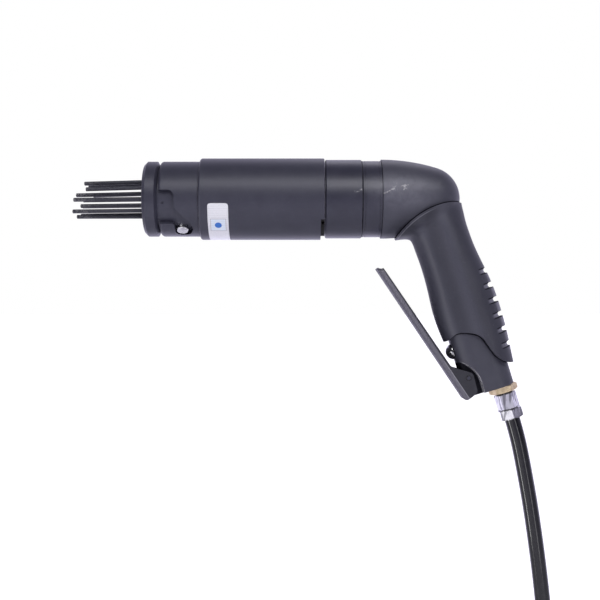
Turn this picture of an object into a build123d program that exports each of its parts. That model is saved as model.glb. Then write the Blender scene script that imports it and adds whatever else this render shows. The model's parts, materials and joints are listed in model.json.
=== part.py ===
from build123d import *
import os
from math import atan2, copysign, cos, degrees, radians, sin, sqrt, tan

# A pistol-grip pneumatic hammer with a needle nose. Sizes are in millimetres and angles in degrees.
# The origin is the middle of the hand grip, X runs back along the barrel and Z points up.

# Placing of the barrel and the handle
barrel_height = 68.0
handle_tilt = 17.0

# Clearances
fit_gap = 0.1
running_gap = 0.05
seat_gap = 0.2
swing_gap = 0.3

# Cast head
head_front = -59.6
head_rear = -0.5
head_step = 0.2
dome_radius = 24.3
chamber_radius = 15.0
chamber_depth = 22.0
duct_head_radius = 10.5
duct_head_depth = 46.0

# Coupling ring and casing ring behind the main sleeve
coupling_length = 14.65
coupling_step = 0.9
coupling_wall = 5.4
groove_width = 0.6
groove_depth = 0.5
groove_inset = 1.7
casing_length = 27.0
casing_step = 1.1
casing_edge = 0.6
spigot_length = 5.75

# Main sleeve
sleeve_gap = 0.6
sleeve_length = 92.15
sleeve_radius = 30.4
sleeve_wall = 2.8
sleeve_rounding = 1.5
exhaust_depth = 2.9
exhaust_half_angle = 56.0
exhaust_port_radius = 1.2
exhaust_port_angles = (44.0, 75.0, 105.0, 136.0)

# Lock sleeve with the two bayonet windows
lock_length = 29.2
lock_step = 2.4
lock_rounding = 2.4
window_facing = 30.0
window_top = -9.0
window_depth = 11.75
window_foot = 18.0
slot_top = 43.0
slot_top_depth = 23.4
slot_end = 58.0
slot_end_depth = 24.9
tongue_top = 45.0
tongue_length = 11.2
tongue_flare = 0.7
seat_gap_behind_pin = 1.0
seat_reach = 4.15
window_lead = 0.5
window_lead_rise = 6.0
window_lead_corner = 2.5
window_corner = 4.0
window_foot_corner = 2.0
slot_corner = 3.0
tongue_corner = 1.5

# Nose with its collar
collar_gap = 0.6
collar_length = 11.35
collar_front_chamfer = 2.35
collar_rear_chamfer = 2.1
nose_step = 3.8
nose_length = 71.0
nose_wall = 7.2
guide_step = 1.0
guide_length = 8.0
guide_recess = 2.35
pin_radius = 4.5
pin_depth_behind_lock = 16.7
pin_angle = 63.0
pin_reach = 4.2
pin_sink = 0.5
pin_chamfer = 0.6
dimple_radius = 1.0
dimple_depth = 0.8
dimple_behind_lock = 3.4
dimple_angle = 11.0

# Needles, with how far each one lies back from the furthest tip and how much it droops
needle_radius = 1.5
needle_length = 125.0
needle_head_radius = 2.75
needle_head_length = 4.0
needle_tip_chamfer = 0.35
needle_hole_radius = 1.75
needle_travel = 14.0
outer_ring_inset = 3.8
inner_ring_radius = 5.0
outer_ring_start = -84.0
inner_ring_start = 56.0
outer_needles_back = [1.5, 0.0, 1.4, 10.0, 7.4, 8.7, 11.0, 2.7, 2.7]
inner_needles_back = [1.2, 4.8, 4.4]
outer_needles_droop = [0.1, 0.7, 0.7, 1.6, 1.6, 1.6, 1.6, 0.7, 0.7]
inner_needles_droop = [1.4, 0.8, 0.8]
holder_length = 8.0
holder_step = 3.0
circlip_length = 1.5
circlip_grip = 1.0
circlip_step = 0.95
circlip_gap_angle = 50.0

# Striking parts inside the sleeve
cylinder_gap = 1.0
cup_depth = 14.0
cup_floor = 8.0
barrel_bore = 11.0
barrel_radius = 17.0
port_radius = 2.5
port_count = 6
port_ahead_of_piston = 8.0
barrel_flange_length = 4.0
anvil_play = 0.9
anvil_flange_length = 7.0
anvil_stem_radius = 7.0
anvil_stem_length = 12.2
anvil_travel = 4.0
bush_wall = 2.5
piston_length = 22.0
piston_nose_chamfer = 1.0
piston_groove_width = 1.5
piston_groove_depth = 0.6
piston_groove_pitch = 6.0
piston_groove_count = 3
felt_gap = 0.3
o_ring_radius = 1.0
o_ring_squeeze = 0.1
anvil_wire_radius = 0.75
anvil_spring_turns = 3

# Air valve behind the piston
valve_wall = 5.5
valve_seat_length = 5.0
valve_cover_length = 5.0
flap_radius = 7.0
flap_length = 1.5
flap_lift = 0.8
valve_port_radius = 2.2
valve_port_ring = 4.0
side_port_ring = 14.5
valve_port_count = 4
cover_port_radius = 5.0
buffer_length = 2.0
buffer_inset = 1.0
buffer_width = 5.0

# Handle core
core_front = 19.3
core_back = -17.9
core_half = 14.0
core_corner = 13.0
core_headroom = 8.7
core_foot = 77.5
core_foot_chamfer = 0.8

# Grip sleeve, as stations of front edge, back edge and half width: those of its flange and neck are
# measured from the barrel, the others down the handle
flange_thickness = 1.8
flange_cuts = [(-68.0, 0.8), (-57.0, 0.02), (-48.2, -0.3)]
neck_stations = [
    (-38.0, 1.2, 2.7, 11.2, 19.4),
    (-36.3, 2.9, 3.6, 15.1, 19.0),
    (-34.0, 8.5, 5.8, 22.3, 18.7),
]
grip_stations = [
    (-29.0, 23.2, -31.0, -19.5, 18.6),
    (-17.0, 23.1, -18.0, -21.2, 18.7),
    (-4.0, 23.7, -4.0, -23.4, 19.0),
    (9.0, 24.6, 9.0, -24.6, 19.1),
    (21.0, 24.5, 22.0, -24.9, 19.0),
    (33.0, 23.4, 35.0, -24.6, 18.7),
    (48.0, 22.8, 49.0, -23.6, 18.3),
    (64.0, 22.4, 67.0, -22.3, 18.0),
]
grip_shares = [
    (1.0, 0.0),
    (0.88, 0.43),
    (0.62, 0.765),
    (0.28, 0.86),
    (-0.1, 0.985),
    (-0.42, 0.965),
    (-0.74, 0.73),
    (-0.93, 0.4),
    (-1.0, 0.0),
]
seam_front = (-48.2, -28.3)
seam_middle = (-30.4, -11.6)
seam_rear = (-4.2, -3.3)
skirt_edge = [
    (32.6, 19.4),
    (30.0, 14.8),
    (30.8, 7.6),
    (36.2, -1.8),
    (45.2, -5.6),
    (53.6, -9.0),
    (60.2, -15.6),
]
skirt_front = 31.0
skirt_back = 62.3
skirt_room = 8.0
trim_room = 60.0
notch_first = -8.8
notch_pitch = 11.36
notch_depths = [1.9, 3.4, 3.4, 3.4, 3.4, 2.1]
notch_half_width = 2.1
notch_sweep = 26.0

# Trigger lever
lever_tip = (-33.5, 55.9)
lever_heel = (80.1, 21.4)
lever_width = 22.0
lever_sheet = 1.8
lever_rim = 4.5
lever_bend = 4.5
lever_tip_corner = 7.0
ear_top = (52.3, 24.3)
ear_shoulder = (61.4, 10.3)
ear_rear = (76.1, 11.0)
ear_corner = 3.6
ear_top_corner = 5.0
heel_corner = 2.5
pad_width = 11.0
pad_length = 9.0
pad_recess = 0.4
lever_pin_end = 0.7
lever_pin_chamfer = 0.4
pivot_down = 63.8
pivot_ahead = 14.4
pivot_radius = 1.5
lip_edge = [(52.5, 14.6), (57.2, 10.3), (62.6, 7.9), (68.2, 6.7)]
lip_start = 49.0

# Throttle valve, across the handle
throttle_down = 42.6
throttle_bore = 6.0
throttle_floor = -15.0
button_radius = 5.8
button_peak = 24.1
button_base = 19.5
button_rim = 0.6
button_stem_radius = 2.5
bush_front = 17.0
bush_length = 8.0
throttle_seat_front = 0.0
throttle_seat_length = 3.0
throttle_seat_bore = 3.4
poppet_radius = 4.6
poppet_length = 3.4
poppet_stem_radius = 2.0
throttle_wire_radius = 0.45
throttle_spring_mean = 3.4
throttle_spring_turns = 4
duct_ahead = 5.0
duct_radius = 4.2

# Air inlet and hose
inlet_ahead = -9.2
inlet_bore = 6.6
inlet_bore_depth = 15.0
inlet_duct_radius = 4.6
inlet_hex = 19.0
inlet_hex_length = 4.9
inlet_hex_turn = 8.0
inlet_thread_bore = 4.9
hex_chamfer = 0.8
strainer_radius = 3.6
strainer_wall = 0.6
strainer_length = 13.0
strainer_flange = 1.0
seal_length = 1.1
seal_radius = 6.4
nipple_hex = 14.4
nipple_hex_length = 12.0
nipple_spigot_length = 8.0
nipple_bore = 3.0
nut_hex = 16.4
nut_hex_length = 7.5
nut_turn = 30.0
hose_radius = 5.8
hose_bore = 3.25
arc_share = 0.45
hose_runs = [12.0, 22.0, 40.0, 56.0, 58.0, 58.0, 54.0]
hose_leans = [handle_tilt, 12.0, 10.0, 7.5, 5.0, 2.5, 0.4]
ferrule_radius = 7.6
ferrule_length = 20.0
ferrule_crimps = 4
ferrule_crimp_depth = 0.5
plug_hex = 14.0
plug_hex_length = 7.0
plug_radius = 5.2
plug_length = 17.0
plug_tip_length = 7.0
plug_tip_radius = 4.0
plug_groove_radius = 3.2
plug_groove_length = 4.0
plug_bore = 2.5

# Frames of the barrel and the handle
down = Vector(sin(radians(handle_tilt)), 0, -cos(radians(handle_tilt)))
ahead = Vector(-cos(radians(handle_tilt)), 0, -sin(radians(handle_tilt)))
barrel = Plane(origin=(0, 0, barrel_height), x_dir=(1, 0, 0), z_dir=(0, -1, 0))
barrel_axis = Axis(barrel.origin, barrel.x_dir)
handle_side = Plane(origin=(0, 0, 0), x_dir=down, z_dir=(0, 1, 0))
core_top = (core_headroom - barrel_height) / cos(radians(handle_tilt))
duct_top = -barrel_height / cos(radians(handle_tilt)) - duct_ahead * tan(radians(handle_tilt))
throttle = Plane(origin=down * throttle_down, x_dir=ahead, z_dir=(0, 1, 0))
inlet = Plane(origin=ahead * inlet_ahead, x_dir=down, z_dir=(0, 1, 0))

# Stations along the barrel, from the head forward
coupling_front = head_front - coupling_length
casing_front = coupling_front - casing_length
spigot_front = casing_front - spigot_length
sleeve_rear = casing_front - sleeve_gap
sleeve_front = sleeve_rear - sleeve_length
lock_shoulder = sleeve_front - seat_gap
lock_front = lock_shoulder - lock_length
collar_rear = lock_front - collar_gap
collar_front = collar_rear - collar_length
nose_rear = collar_rear + nose_length
cup_front = nose_rear + cylinder_gap
cup_seat = cup_front + cup_depth
cup_rear = cup_seat + cup_floor
anvil_rear = cup_seat - seat_gap
anvil_front = anvil_rear - anvil_flange_length
holder_rear = anvil_front - anvil_travel - needle_travel - needle_head_length - 2 * seat_gap
holder_front = holder_rear - holder_length
buffer_front = coupling_front - buffer_length
cover_front = buffer_front - valve_cover_length
cylinder_rear = cover_front - valve_seat_length
piston_rear = cylinder_rear - seat_gap
piston_front = piston_rear - piston_length
guide_front = collar_front + guide_recess
guide_rear = guide_front + guide_length

# Radii of the barrel's pieces, from the main sleeve inwards
sleeve_inner = sleeve_radius - sleeve_wall
spigot_radius = sleeve_inner - fit_gap
casing_radius = sleeve_radius - casing_step
head_radius = casing_radius + head_step
coupling_radius = casing_radius - coupling_step
stub_radius = coupling_radius - coupling_wall
valve_radius = spigot_radius - valve_wall
buffer_radius = valve_radius - buffer_inset
buffer_bore = buffer_radius - buffer_width
lock_radius = sleeve_radius - lock_step
collar_radius = lock_radius
nose_radius = lock_radius - nose_step
lock_bore = nose_radius + fit_gap
pin_foot = nose_radius - pin_reach
pin_top = lock_radius - pin_sink
nose_bore = nose_radius - nose_wall
guide_radius = nose_bore + guide_step
outer_ring_radius = nose_bore - outer_ring_inset
circlip_inner_radius = nose_bore + circlip_step
holder_bore = nose_bore + holder_step
cup_bore = holder_bore + seat_gap
anvil_flange_radius = cup_bore - anvil_play


def rounded(plane, corners):
    """A closed outline on a plane, where a corner may carry a rounding radius as its third value."""
    with BuildSketch(plane) as outline:
        with BuildLine():
            Polyline(*[corner[:2] for corner in corners], close=True)
        make_face()
        for corner in corners:
            if len(corner) > 2:
                fillet(outline.vertices().sort_by_distance(corner[:2])[0], corner[2])
    return outline.sketch


def turned(plane, corners, mode=Mode.ADD):
    """An outline of (along, radius) corners turned about the plane's X axis."""
    revolve(rounded(plane, corners), axis=Axis(plane.origin, plane.x_dir), mode=mode)


def ring(plane, start, end, outer, inner=0.0, mode=Mode.ADD):
    """A plain ring about the plane's X axis, or a disc where it has no inner radius."""
    turned(plane, [(start, inner), (end, inner), (end, outer), (start, outer)], mode)


def square_to(plane, along):
    """A plane square to another plane's X axis that looks along it."""
    return Plane(origin=plane.from_local_coords(Vector(along, 0, 0)), x_dir=plane.y_dir, z_dir=plane.x_dir)


def o_ring(plane, along, outer):
    """A round rubber ring about the plane's X axis that sits in a bore."""
    with BuildSketch(plane) as section:
        with Locations((along, outer - o_ring_radius - running_gap)):
            Circle(o_ring_radius)
    revolve(section.sketch, axis=Axis(plane.origin, plane.x_dir))


def o_ring_groove(plane, along, outer):
    """The groove that holds such a ring."""
    floor = outer - 2 * (o_ring_radius + running_gap)
    half = o_ring_radius + fit_gap
    ring(plane, along - half, along + half, outer, floor, Mode.SUBTRACT)


def hexagon(plane, across, start, end, turn):
    """A hexagonal bar along the plane's X axis, with its end corners turned off."""
    with BuildSketch(square_to(plane, start)) as section:
        RegularPolygon(across / 2, 6, major_radius=False, rotation=turn)
    extrude(section.sketch, end - start)
    flat = across / 2
    corner = flat + hex_chamfer * sqrt(3)
    turned(
        plane,
        [
            (start, 0),
            (start, flat),
            (start + hex_chamfer, corner),
            (end - hex_chamfer, corner),
            (end, flat),
            (end, 0),
        ],
        Mode.INTERSECT,
    )


def barrel_ray(angle, along):
    """A plane on the barrel axis that looks out at an angle below the near side's horizontal."""
    out = (0, -cos(radians(angle)), -sin(radians(angle)))
    return Plane(origin=(along, 0, barrel_height), x_dir=(1, 0, 0), z_dir=out)


def across_barrel(along):
    """A plane square to the barrel that looks forward, with its X axis towards the near side."""
    return Plane(origin=(along, 0, barrel_height), x_dir=(0, -1, 0), z_dir=(-1, 0, 0))


def across_handle(along, offset):
    """A plane square to the handle that looks down it, with its X axis ahead."""
    return Plane(origin=down * along + ahead * offset, x_dir=ahead, z_dir=down)


def coil(plane, wire, radius, start, end, turns):
    """A compression spring about the plane's X axis, from one end to the other."""
    rise = end - start - 2 * wire
    foot = plane.from_local_coords(Vector(start + wire, 0, 0))
    with BuildLine() as path:
        Helix(pitch=rise / turns, height=rise, radius=radius, center=foot, direction=plane.x_dir)
    helix = path.edges()[0]
    with BuildSketch(Plane(origin=helix @ 0, z_dir=helix % 0)) as section:
        Circle(wire)
    sweep(section.sketch, path=helix, is_frenet=True)


def dome_arcs(grow):
    """The grown head's rise, ball radius, flank radius and the barrel station where the arcs meet."""
    reach = head_rear - dome_radius - head_front
    rise = head_radius + grow
    ball = dome_radius + grow
    flank = (reach**2 + rise**2 - ball**2) / (2 * (rise - ball))
    return rise, ball, flank, head_front + flank * reach / (flank - ball)


def dome_height(along, grow):
    """The grown head's radius at a station along the barrel."""
    rise, ball, flank, meeting = dome_arcs(grow)
    if along <= head_front:
        return rise
    if along < meeting:
        return rise - flank + sqrt(flank**2 - (along - head_front) ** 2)
    return sqrt(max(ball**2 - (along - head_rear + dome_radius) ** 2, 0))


def dome(grow, mode=Mode.ADD):
    """The head: a long flank that runs into a ball, grown by an even amount."""
    rise, ball, flank, meeting = dome_arcs(grow)
    turn = degrees(atan2(meeting - head_front, flank - rise + dome_height(meeting, grow)))
    with BuildSketch(barrel) as half:
        with BuildLine():
            JernArc((head_front, rise), (1, 0), flank, -turn)
            CenterArc((head_rear - dome_radius, 0), ball, 0, 90 - turn)
            Polyline((head_rear + grow, 0), (head_front, 0), (head_front, rise))
        make_face()
    revolve(half.sketch, axis=barrel_axis, mode=mode)


def core(grow, mode=Mode.ADD):
    """The straight core of the handle, grown by an even amount, from inside the head to its foot."""
    with BuildSketch(across_handle(core_top, (core_front + core_back) / 2)) as section:
        RectangleRounded(core_front - core_back + 2 * grow, 2 * (core_half + grow), core_corner + grow)
    extrude(section.sketch, core_foot - core_top, mode=mode)


def oval(front, back, widths):
    """A closed section between two points of the side view, with its half widths from front to back."""
    lengthwise = front - back
    place = Plane(origin=(front + back) * 0.5, x_dir=lengthwise, z_dir=lengthwise.cross(Vector(0, 1, 0)))
    near = [(lengthwise.length / 2 * share, width) for (share, _), width in zip(grip_shares, widths)]
    far = [(x, -y) for x, y in reversed(near[1:-1])]
    with BuildSketch(place) as section:
        with BuildLine():
            Spline(*near, *far, periodic=True)
        make_face()
    return section.sketch


def grip_section(front_down, front_ahead, back_down, back_ahead, half):
    """A section of the grip between its front and back edges."""
    front = down * front_down + ahead * front_ahead
    back = down * back_down + ahead * back_ahead
    return oval(front, back, [half * share for _, share in grip_shares])


def neck_section(front_along, front_drop, back_along, back_drop, half):
    """A section of the neck, with its front edge below the head and its back edge below the axis."""
    front = Vector(front_along, 0, barrel_height - head_radius - front_drop)
    back = Vector(back_along, 0, barrel_height - back_drop)
    return oval(front, back, [half * share for _, share in grip_shares])


def flange_section(front_along, back_inset):
    """The section that a slanting plane cuts from the flange, down behind for a negative inset."""
    back_along = head_rear + flange_thickness - abs(back_inset)
    back_rise = copysign(dome_height(back_along, flange_thickness), back_inset)
    front = Vector(front_along, 0, barrel_height - dome_height(front_along, flange_thickness))
    back = Vector(back_along, 0, barrel_height + back_rise)
    spots = [back + (front - back) * ((1 + share) / 2) for share, _ in grip_shares[1:-1]]
    squares = [dome_height(spot.X, flange_thickness) ** 2 - (spot.Z - barrel_height) ** 2 for spot in spots]
    return oval(front, back, [0.0, *[sqrt(square) for square in squares], 0.0])


def grip_back(along):
    """How far ahead the back edge of the grip lies at a station down the handle."""
    edges = [(station[2], station[3]) for station in grip_stations]
    for (upper, upper_back), (lower, lower_back) in zip(edges, edges[1:]):
        if along <= lower:
            return upper_back + (lower_back - upper_back) * (along - upper) / (lower - upper)


# Cast handle: the head with its stub, the core and the air ways through them
inlet_step = core_foot - inlet_bore_depth
tongue_half = lever_width / 2 - lever_sheet - swing_gap
with BuildPart() as handle_casting:
    dome(0)
    ring(barrel, coupling_front + seat_gap, head_front, stub_radius)
    core(0)
    chamfer(handle_casting.faces().sort_by(Axis((0, 0, 0), down))[-1].edges(), core_foot_chamfer)
    ring(barrel, coupling_front, head_front + chamber_depth, chamber_radius, mode=Mode.SUBTRACT)
    ring(barrel, head_front, head_front + duct_head_depth, duct_head_radius, mode=Mode.SUBTRACT)
    with BuildSketch(across_handle(duct_top, duct_ahead)) as duct:
        Circle(duct_radius)
    extrude(duct.sketch, throttle_down - duct_top, mode=Mode.SUBTRACT)
    ring(throttle, throttle_floor, core_front + core_corner, throttle_bore, mode=Mode.SUBTRACT)
    ring(inlet, throttle_down, inlet_step, inlet_duct_radius, mode=Mode.SUBTRACT)
    ring(inlet, inlet_step, core_foot, inlet_bore, mode=Mode.SUBTRACT)
    with BuildSketch(handle_side) as recess:
        with BuildLine():
            lip = Spline((lip_start, core_front), *lip_edge, (core_foot, lip_edge[-1][1]))
            Polyline(lip @ 1, (core_foot, core_front), lip @ 0)
        make_face()
    for cheek in (handle_side.offset(tongue_half), handle_side.offset(-tongue_half - core_half)):
        extrude(recess.sketch.moved(Location(cheek.origin)), core_half, mode=Mode.SUBTRACT)
    with BuildSketch(handle_side) as pivot_hole:
        with Locations((pivot_down, pivot_ahead)):
            Circle(pivot_radius)
    extrude(pivot_hole.sketch, core_half, both=True, mode=Mode.SUBTRACT)

# Moulded grip sleeve with its flange over the head, the skirt edge and the finger notches in its back
skirt_ahead = core_front + skirt_room
skirt_behind = core_back - skirt_room
with BuildPart() as grip_sleeve:
    flange_sections = [flange_section(*cut) for cut in flange_cuts]
    neck_sections = [neck_section(*station) for station in neck_stations]
    loft([*flange_sections, *neck_sections, *[grip_section(*station) for station in grip_stations]])
    with BuildSketch(barrel) as above_seam:
        with BuildLine():
            seam = ThreePointArc(seam_front, seam_middle, seam_rear)
            Polyline(
                seam @ 1,
                (head_rear + trim_room, seam_rear[1]),
                (head_rear + trim_room, trim_room),
                (head_front - trim_room, trim_room),
                (head_front - trim_room, -trim_room),
                (seam_front[0], -trim_room),
                seam @ 0,
            )
        make_face()
    extrude(above_seam.sketch, trim_room, both=True, mode=Mode.SUBTRACT)
    with BuildSketch(handle_side) as below_skirt:
        with BuildLine():
            skirt = Spline((skirt_front, skirt_ahead), *skirt_edge, (skirt_back, skirt_behind))
            Polyline(skirt @ 1, (core_foot, skirt_behind), (core_foot, skirt_ahead), skirt @ 0)
        make_face()
    extrude(below_skirt.sketch, trim_room, both=True, mode=Mode.SUBTRACT)
    core(fit_gap, Mode.SUBTRACT)
    dome(fit_gap, Mode.SUBTRACT)
    for index, notch_depth in enumerate(notch_depths):
        notch_at = notch_first + index * notch_pitch
        notch_axis = grip_back(notch_at) + notch_depth + notch_sweep
        with BuildSketch(Plane(down * notch_at + ahead * notch_axis, -ahead, (0, 1, 0))) as notch:
            with Locations((notch_sweep + notch_half_width, 0)):
                Circle(notch_half_width)
            with Locations((notch_sweep + notch_half_width + notch_depth, 0)):
                Rectangle(2 * notch_depth, 2 * notch_half_width)
        revolve(notch.sketch, axis=Axis(down * notch_at + ahead * notch_axis, down), mode=Mode.SUBTRACT)

# Coupling ring between the head and the casing
coupling_edges = [coupling_front + groove_inset, head_front - groove_inset - groove_width]
with BuildPart() as coupling_ring:
    ring(barrel, coupling_front, head_front, coupling_radius, stub_radius + fit_gap)
    groove_bottom = coupling_radius - groove_depth
    for edge in coupling_edges:
        ring(barrel, edge, edge + groove_width, coupling_radius, groove_bottom, Mode.SUBTRACT)

# Casing ring with the spigot that carries the main sleeve
with BuildPart() as casing_ring:
    turned(
        barrel,
        [
            (spigot_front, valve_radius + fit_gap),
            (coupling_front, valve_radius + fit_gap),
            (coupling_front, casing_radius - casing_edge),
            (coupling_front - casing_edge, casing_radius),
            (casing_front + casing_edge, casing_radius),
            (casing_front, casing_radius - casing_edge),
            (casing_front, spigot_radius),
            (spigot_front, spigot_radius),
        ],
    )
    for angle in exhaust_port_angles:
        with BuildSketch(barrel_ray(angle, sleeve_rear - exhaust_depth / 2)) as exhaust_port:
            Circle(exhaust_port_radius)
        extrude(exhaust_port.sketch, sleeve_radius, mode=Mode.SUBTRACT)

# Main sleeve over the striking parts, with the exhaust opening under its rear edge
with BuildPart() as main_sleeve:
    turned(
        barrel,
        [
            (sleeve_front, sleeve_inner),
            (sleeve_rear, sleeve_inner),
            (sleeve_rear, sleeve_radius - casing_edge),
            (sleeve_rear - casing_edge, sleeve_radius),
            (sleeve_front, sleeve_radius, sleeve_rounding),
        ],
    )
    opening_side = 2 * sleeve_radius * sin(radians(exhaust_half_angle))
    opening_drop = 2 * sleeve_radius * cos(radians(exhaust_half_angle))
    opening = [(0, 0), (opening_side, -opening_drop), (-opening_side, -opening_drop)]
    extrude(rounded(across_barrel(sleeve_rear), opening), exhaust_depth, mode=Mode.SUBTRACT)


def window_rise(angle):
    """Height on the window's drawing of a point at an angle round the lock sleeve."""
    return lock_radius * sin(radians(window_facing - angle))


# Lock sleeve: a shank inside the main sleeve and two windows that take the bayonet pins
pin_seat = pin_depth_behind_lock
seat_low = window_rise(pin_angle) - seat_reach
seat_half = pin_radius + seat_gap_behind_pin
window_corners = [
    (-window_lead, window_rise(tongue_top)),
    (tongue_length, window_rise(tongue_top), tongue_corner),
    (tongue_length + tongue_flare, seat_low, window_corner),
    (pin_seat + seat_half, seat_low, window_corner),
    (slot_end_depth, window_rise(slot_end), slot_corner),
    (slot_top_depth, window_rise(slot_top), slot_corner),
    (window_depth, window_rise(window_foot), window_foot_corner),
    (window_depth, window_rise(window_top), window_corner),
    (-window_lead, window_rise(window_top)),
]
with BuildPart() as lock_sleeve:
    turned(
        barrel,
        [
            (lock_front, lock_bore),
            (cup_rear - seat_gap, lock_bore),
            (cup_rear - seat_gap, spigot_radius),
            (lock_shoulder, spigot_radius),
            (lock_shoulder, lock_radius),
            (lock_front, lock_radius, lock_rounding),
        ],
    )
    for facing in (window_facing, window_facing + 180):
        extrude(rounded(barrel_ray(facing, lock_front), window_corners), sleeve_radius, mode=Mode.SUBTRACT)

# Nose tube with its collar, the seats of the needle parts and the holes for the bayonet pins
pin_along = lock_front + pin_depth_behind_lock
pin_angles = (pin_angle, pin_angle + 180)
groove_start = holder_rear
groove_end = holder_rear + circlip_length + 2 * fit_gap
with BuildPart() as nose_tube:
    turned(
        barrel,
        [
            (collar_front, guide_radius + running_gap),
            (guide_rear, guide_radius + running_gap),
            (guide_rear, nose_bore),
            (holder_front, nose_bore),
            (holder_front, holder_bore),
            (groove_start, holder_bore),
            (groove_start, holder_bore + circlip_grip + fit_gap),
            (groove_end, holder_bore + circlip_grip + fit_gap),
            (groove_end, holder_bore),
            (nose_rear, holder_bore),
            (nose_rear, nose_radius),
            (collar_rear, nose_radius),
            (collar_rear - collar_rear_chamfer, collar_radius),
            (collar_front + collar_front_chamfer, collar_radius),
            (collar_front, collar_radius - collar_front_chamfer),
        ],
    )
    for angle in pin_angles:
        with BuildSketch(barrel_ray(angle, pin_along).offset(pin_foot)) as pin_hole:
            Circle(pin_radius + running_gap)
        extrude(pin_hole.sketch, nose_radius, mode=Mode.SUBTRACT)
    dimple_ray = barrel_ray(dimple_angle, lock_front + dimple_behind_lock)
    with BuildSketch(dimple_ray.offset(nose_radius)) as dimple:
        Circle(dimple_radius)
    extrude(dimple.sketch, -dimple_depth, mode=Mode.SUBTRACT)

# Bayonet pins pressed into the nose tube
bayonet_pins = {}
for side, angle in zip(("near", "far"), pin_angles):
    ray = barrel_ray(angle, pin_along)
    with BuildPart() as bayonet_pin:
        turned(
            Plane(origin=ray.origin, x_dir=ray.z_dir, z_dir=ray.x_dir),
            [
                (pin_foot, 0),
                (pin_top, 0),
                (pin_top, pin_radius - pin_chamfer),
                (pin_top - pin_chamfer, pin_radius),
                (pin_foot, pin_radius),
            ],
        )
    bayonet_pins[f"bayonet_pin_{side}"] = bayonet_pin


def needle_lines():
    """The needles' own axes through the middle of the guide, the outer ring first, each with its droop."""
    outer = PolarLocations(outer_ring_radius, len(outer_needles_back), start_angle=outer_ring_start)
    inner = PolarLocations(inner_ring_radius, len(inner_needles_back), start_angle=inner_ring_start)
    spots = [*outer.local_locations, *inner.local_locations]
    lines = []
    for spot, droop in zip(spots, outer_needles_droop + inner_needles_droop):
        place = across_barrel(guide_middle).from_local_coords(spot.position)
        slope = (cos(radians(droop)), 0, sin(radians(droop)))
        lines.append(Plane(origin=place, x_dir=slope, z_dir=(0, -1, 0)))
    return lines


# Guide in the collar and holder at the back of the nose, both drilled along the needles' axes
guide_middle = (guide_front + guide_rear) / 2
holder_offset = holder_front - guide_middle
with BuildPart() as needle_guide:
    ring(barrel, guide_front, guide_rear, guide_radius)
    for line in needle_lines():
        ring(line, -guide_length, guide_length, needle_hole_radius, mode=Mode.SUBTRACT)

with BuildPart() as needle_holder:
    ring(barrel, holder_front, holder_rear, holder_bore - running_gap)
    for line in needle_lines():
        drill_end = holder_offset + 2 * holder_length
        ring(line, holder_offset - holder_length, drill_end, needle_hole_radius, mode=Mode.SUBTRACT)

# Snap ring that keeps the holder in the nose
clip_front = holder_rear + fit_gap
clip_rear = clip_front + circlip_length
with BuildPart() as holder_circlip:
    ring(barrel, clip_front, clip_rear, holder_bore + circlip_grip, circlip_inner_radius)
    mouth = 2 * nose_radius * sin(radians(circlip_gap_angle / 2))
    reach = 2 * nose_radius * cos(radians(circlip_gap_angle / 2))
    wedge = rounded(across_barrel(clip_rear), [(0, 0), (mouth, -reach), (-mouth, -reach)])
    extrude(wedge, circlip_length, mode=Mode.SUBTRACT)

# Needles, each lying back from the furthest tip by its own amount
needle_tip = holder_rear + seat_gap + needle_head_length - needle_length - guide_middle
needles = {}
for index, (line, back) in enumerate(zip(needle_lines(), outer_needles_back + inner_needles_back), 1):
    tip = needle_tip + back
    with BuildPart() as needle:
        turned(
            line,
            [
                (tip, 0),
                (tip + needle_length, 0),
                (tip + needle_length, needle_head_radius),
                (tip + needle_length - needle_head_length, needle_head_radius),
                (tip + needle_length - needle_head_length, needle_radius),
                (tip + needle_tip_chamfer, needle_radius),
                (tip, needle_radius - needle_tip_chamfer),
            ],
        )
    needles[f"needle_{index:02d}"] = needle

# Anvil that passes each blow to the needles, its bush and its return spring
bush_radius = anvil_stem_radius + bush_wall
with BuildPart() as anvil:
    turned(
        barrel,
        [
            (anvil_front, 0),
            (anvil_rear + anvil_stem_length, 0),
            (anvil_rear + anvil_stem_length, anvil_stem_radius),
            (anvil_rear, anvil_stem_radius),
            (anvil_rear, anvil_flange_radius),
            (anvil_front, anvil_flange_radius),
        ],
    )

with BuildPart() as anvil_bush:
    ring(barrel, cup_seat, cup_rear, bush_radius, anvil_stem_radius + running_gap)

spring_mean = (holder_bore + circlip_inner_radius) / 2
with BuildPart() as anvil_spring:
    spring_end = anvil_front - fit_gap
    coil(barrel, anvil_wire_radius, spring_mean, clip_rear + fit_gap, spring_end, anvil_spring_turns)

# Cylinder: a cup for the anvil in front, the piston bore behind, a rear flange and exhaust ports
cup_radius = lock_bore - fit_gap
front_groove = cup_front + cup_depth / 2
with BuildPart() as cylinder:
    turned(
        barrel,
        [
            (cup_front, cup_bore),
            (cup_seat, cup_bore),
            (cup_seat, bush_radius + running_gap),
            (cup_rear, bush_radius + running_gap),
            (cup_rear, barrel_bore),
            (cylinder_rear, barrel_bore),
            (cylinder_rear, valve_radius),
            (cylinder_rear - barrel_flange_length, valve_radius),
            (cylinder_rear - barrel_flange_length, barrel_radius),
            (cup_rear, barrel_radius),
            (cup_rear, cup_radius),
            (cup_front, cup_radius),
        ],
    )
    o_ring_groove(barrel, front_groove, lock_bore)
    for index in range(port_count):
        with BuildSketch(barrel_ray(index * 360 / port_count, piston_front - port_ahead_of_piston)) as port:
            Circle(port_radius)
        extrude(port.sketch, sleeve_radius, mode=Mode.SUBTRACT)

with BuildPart() as front_o_ring:
    o_ring(barrel, front_groove, lock_bore)

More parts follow.
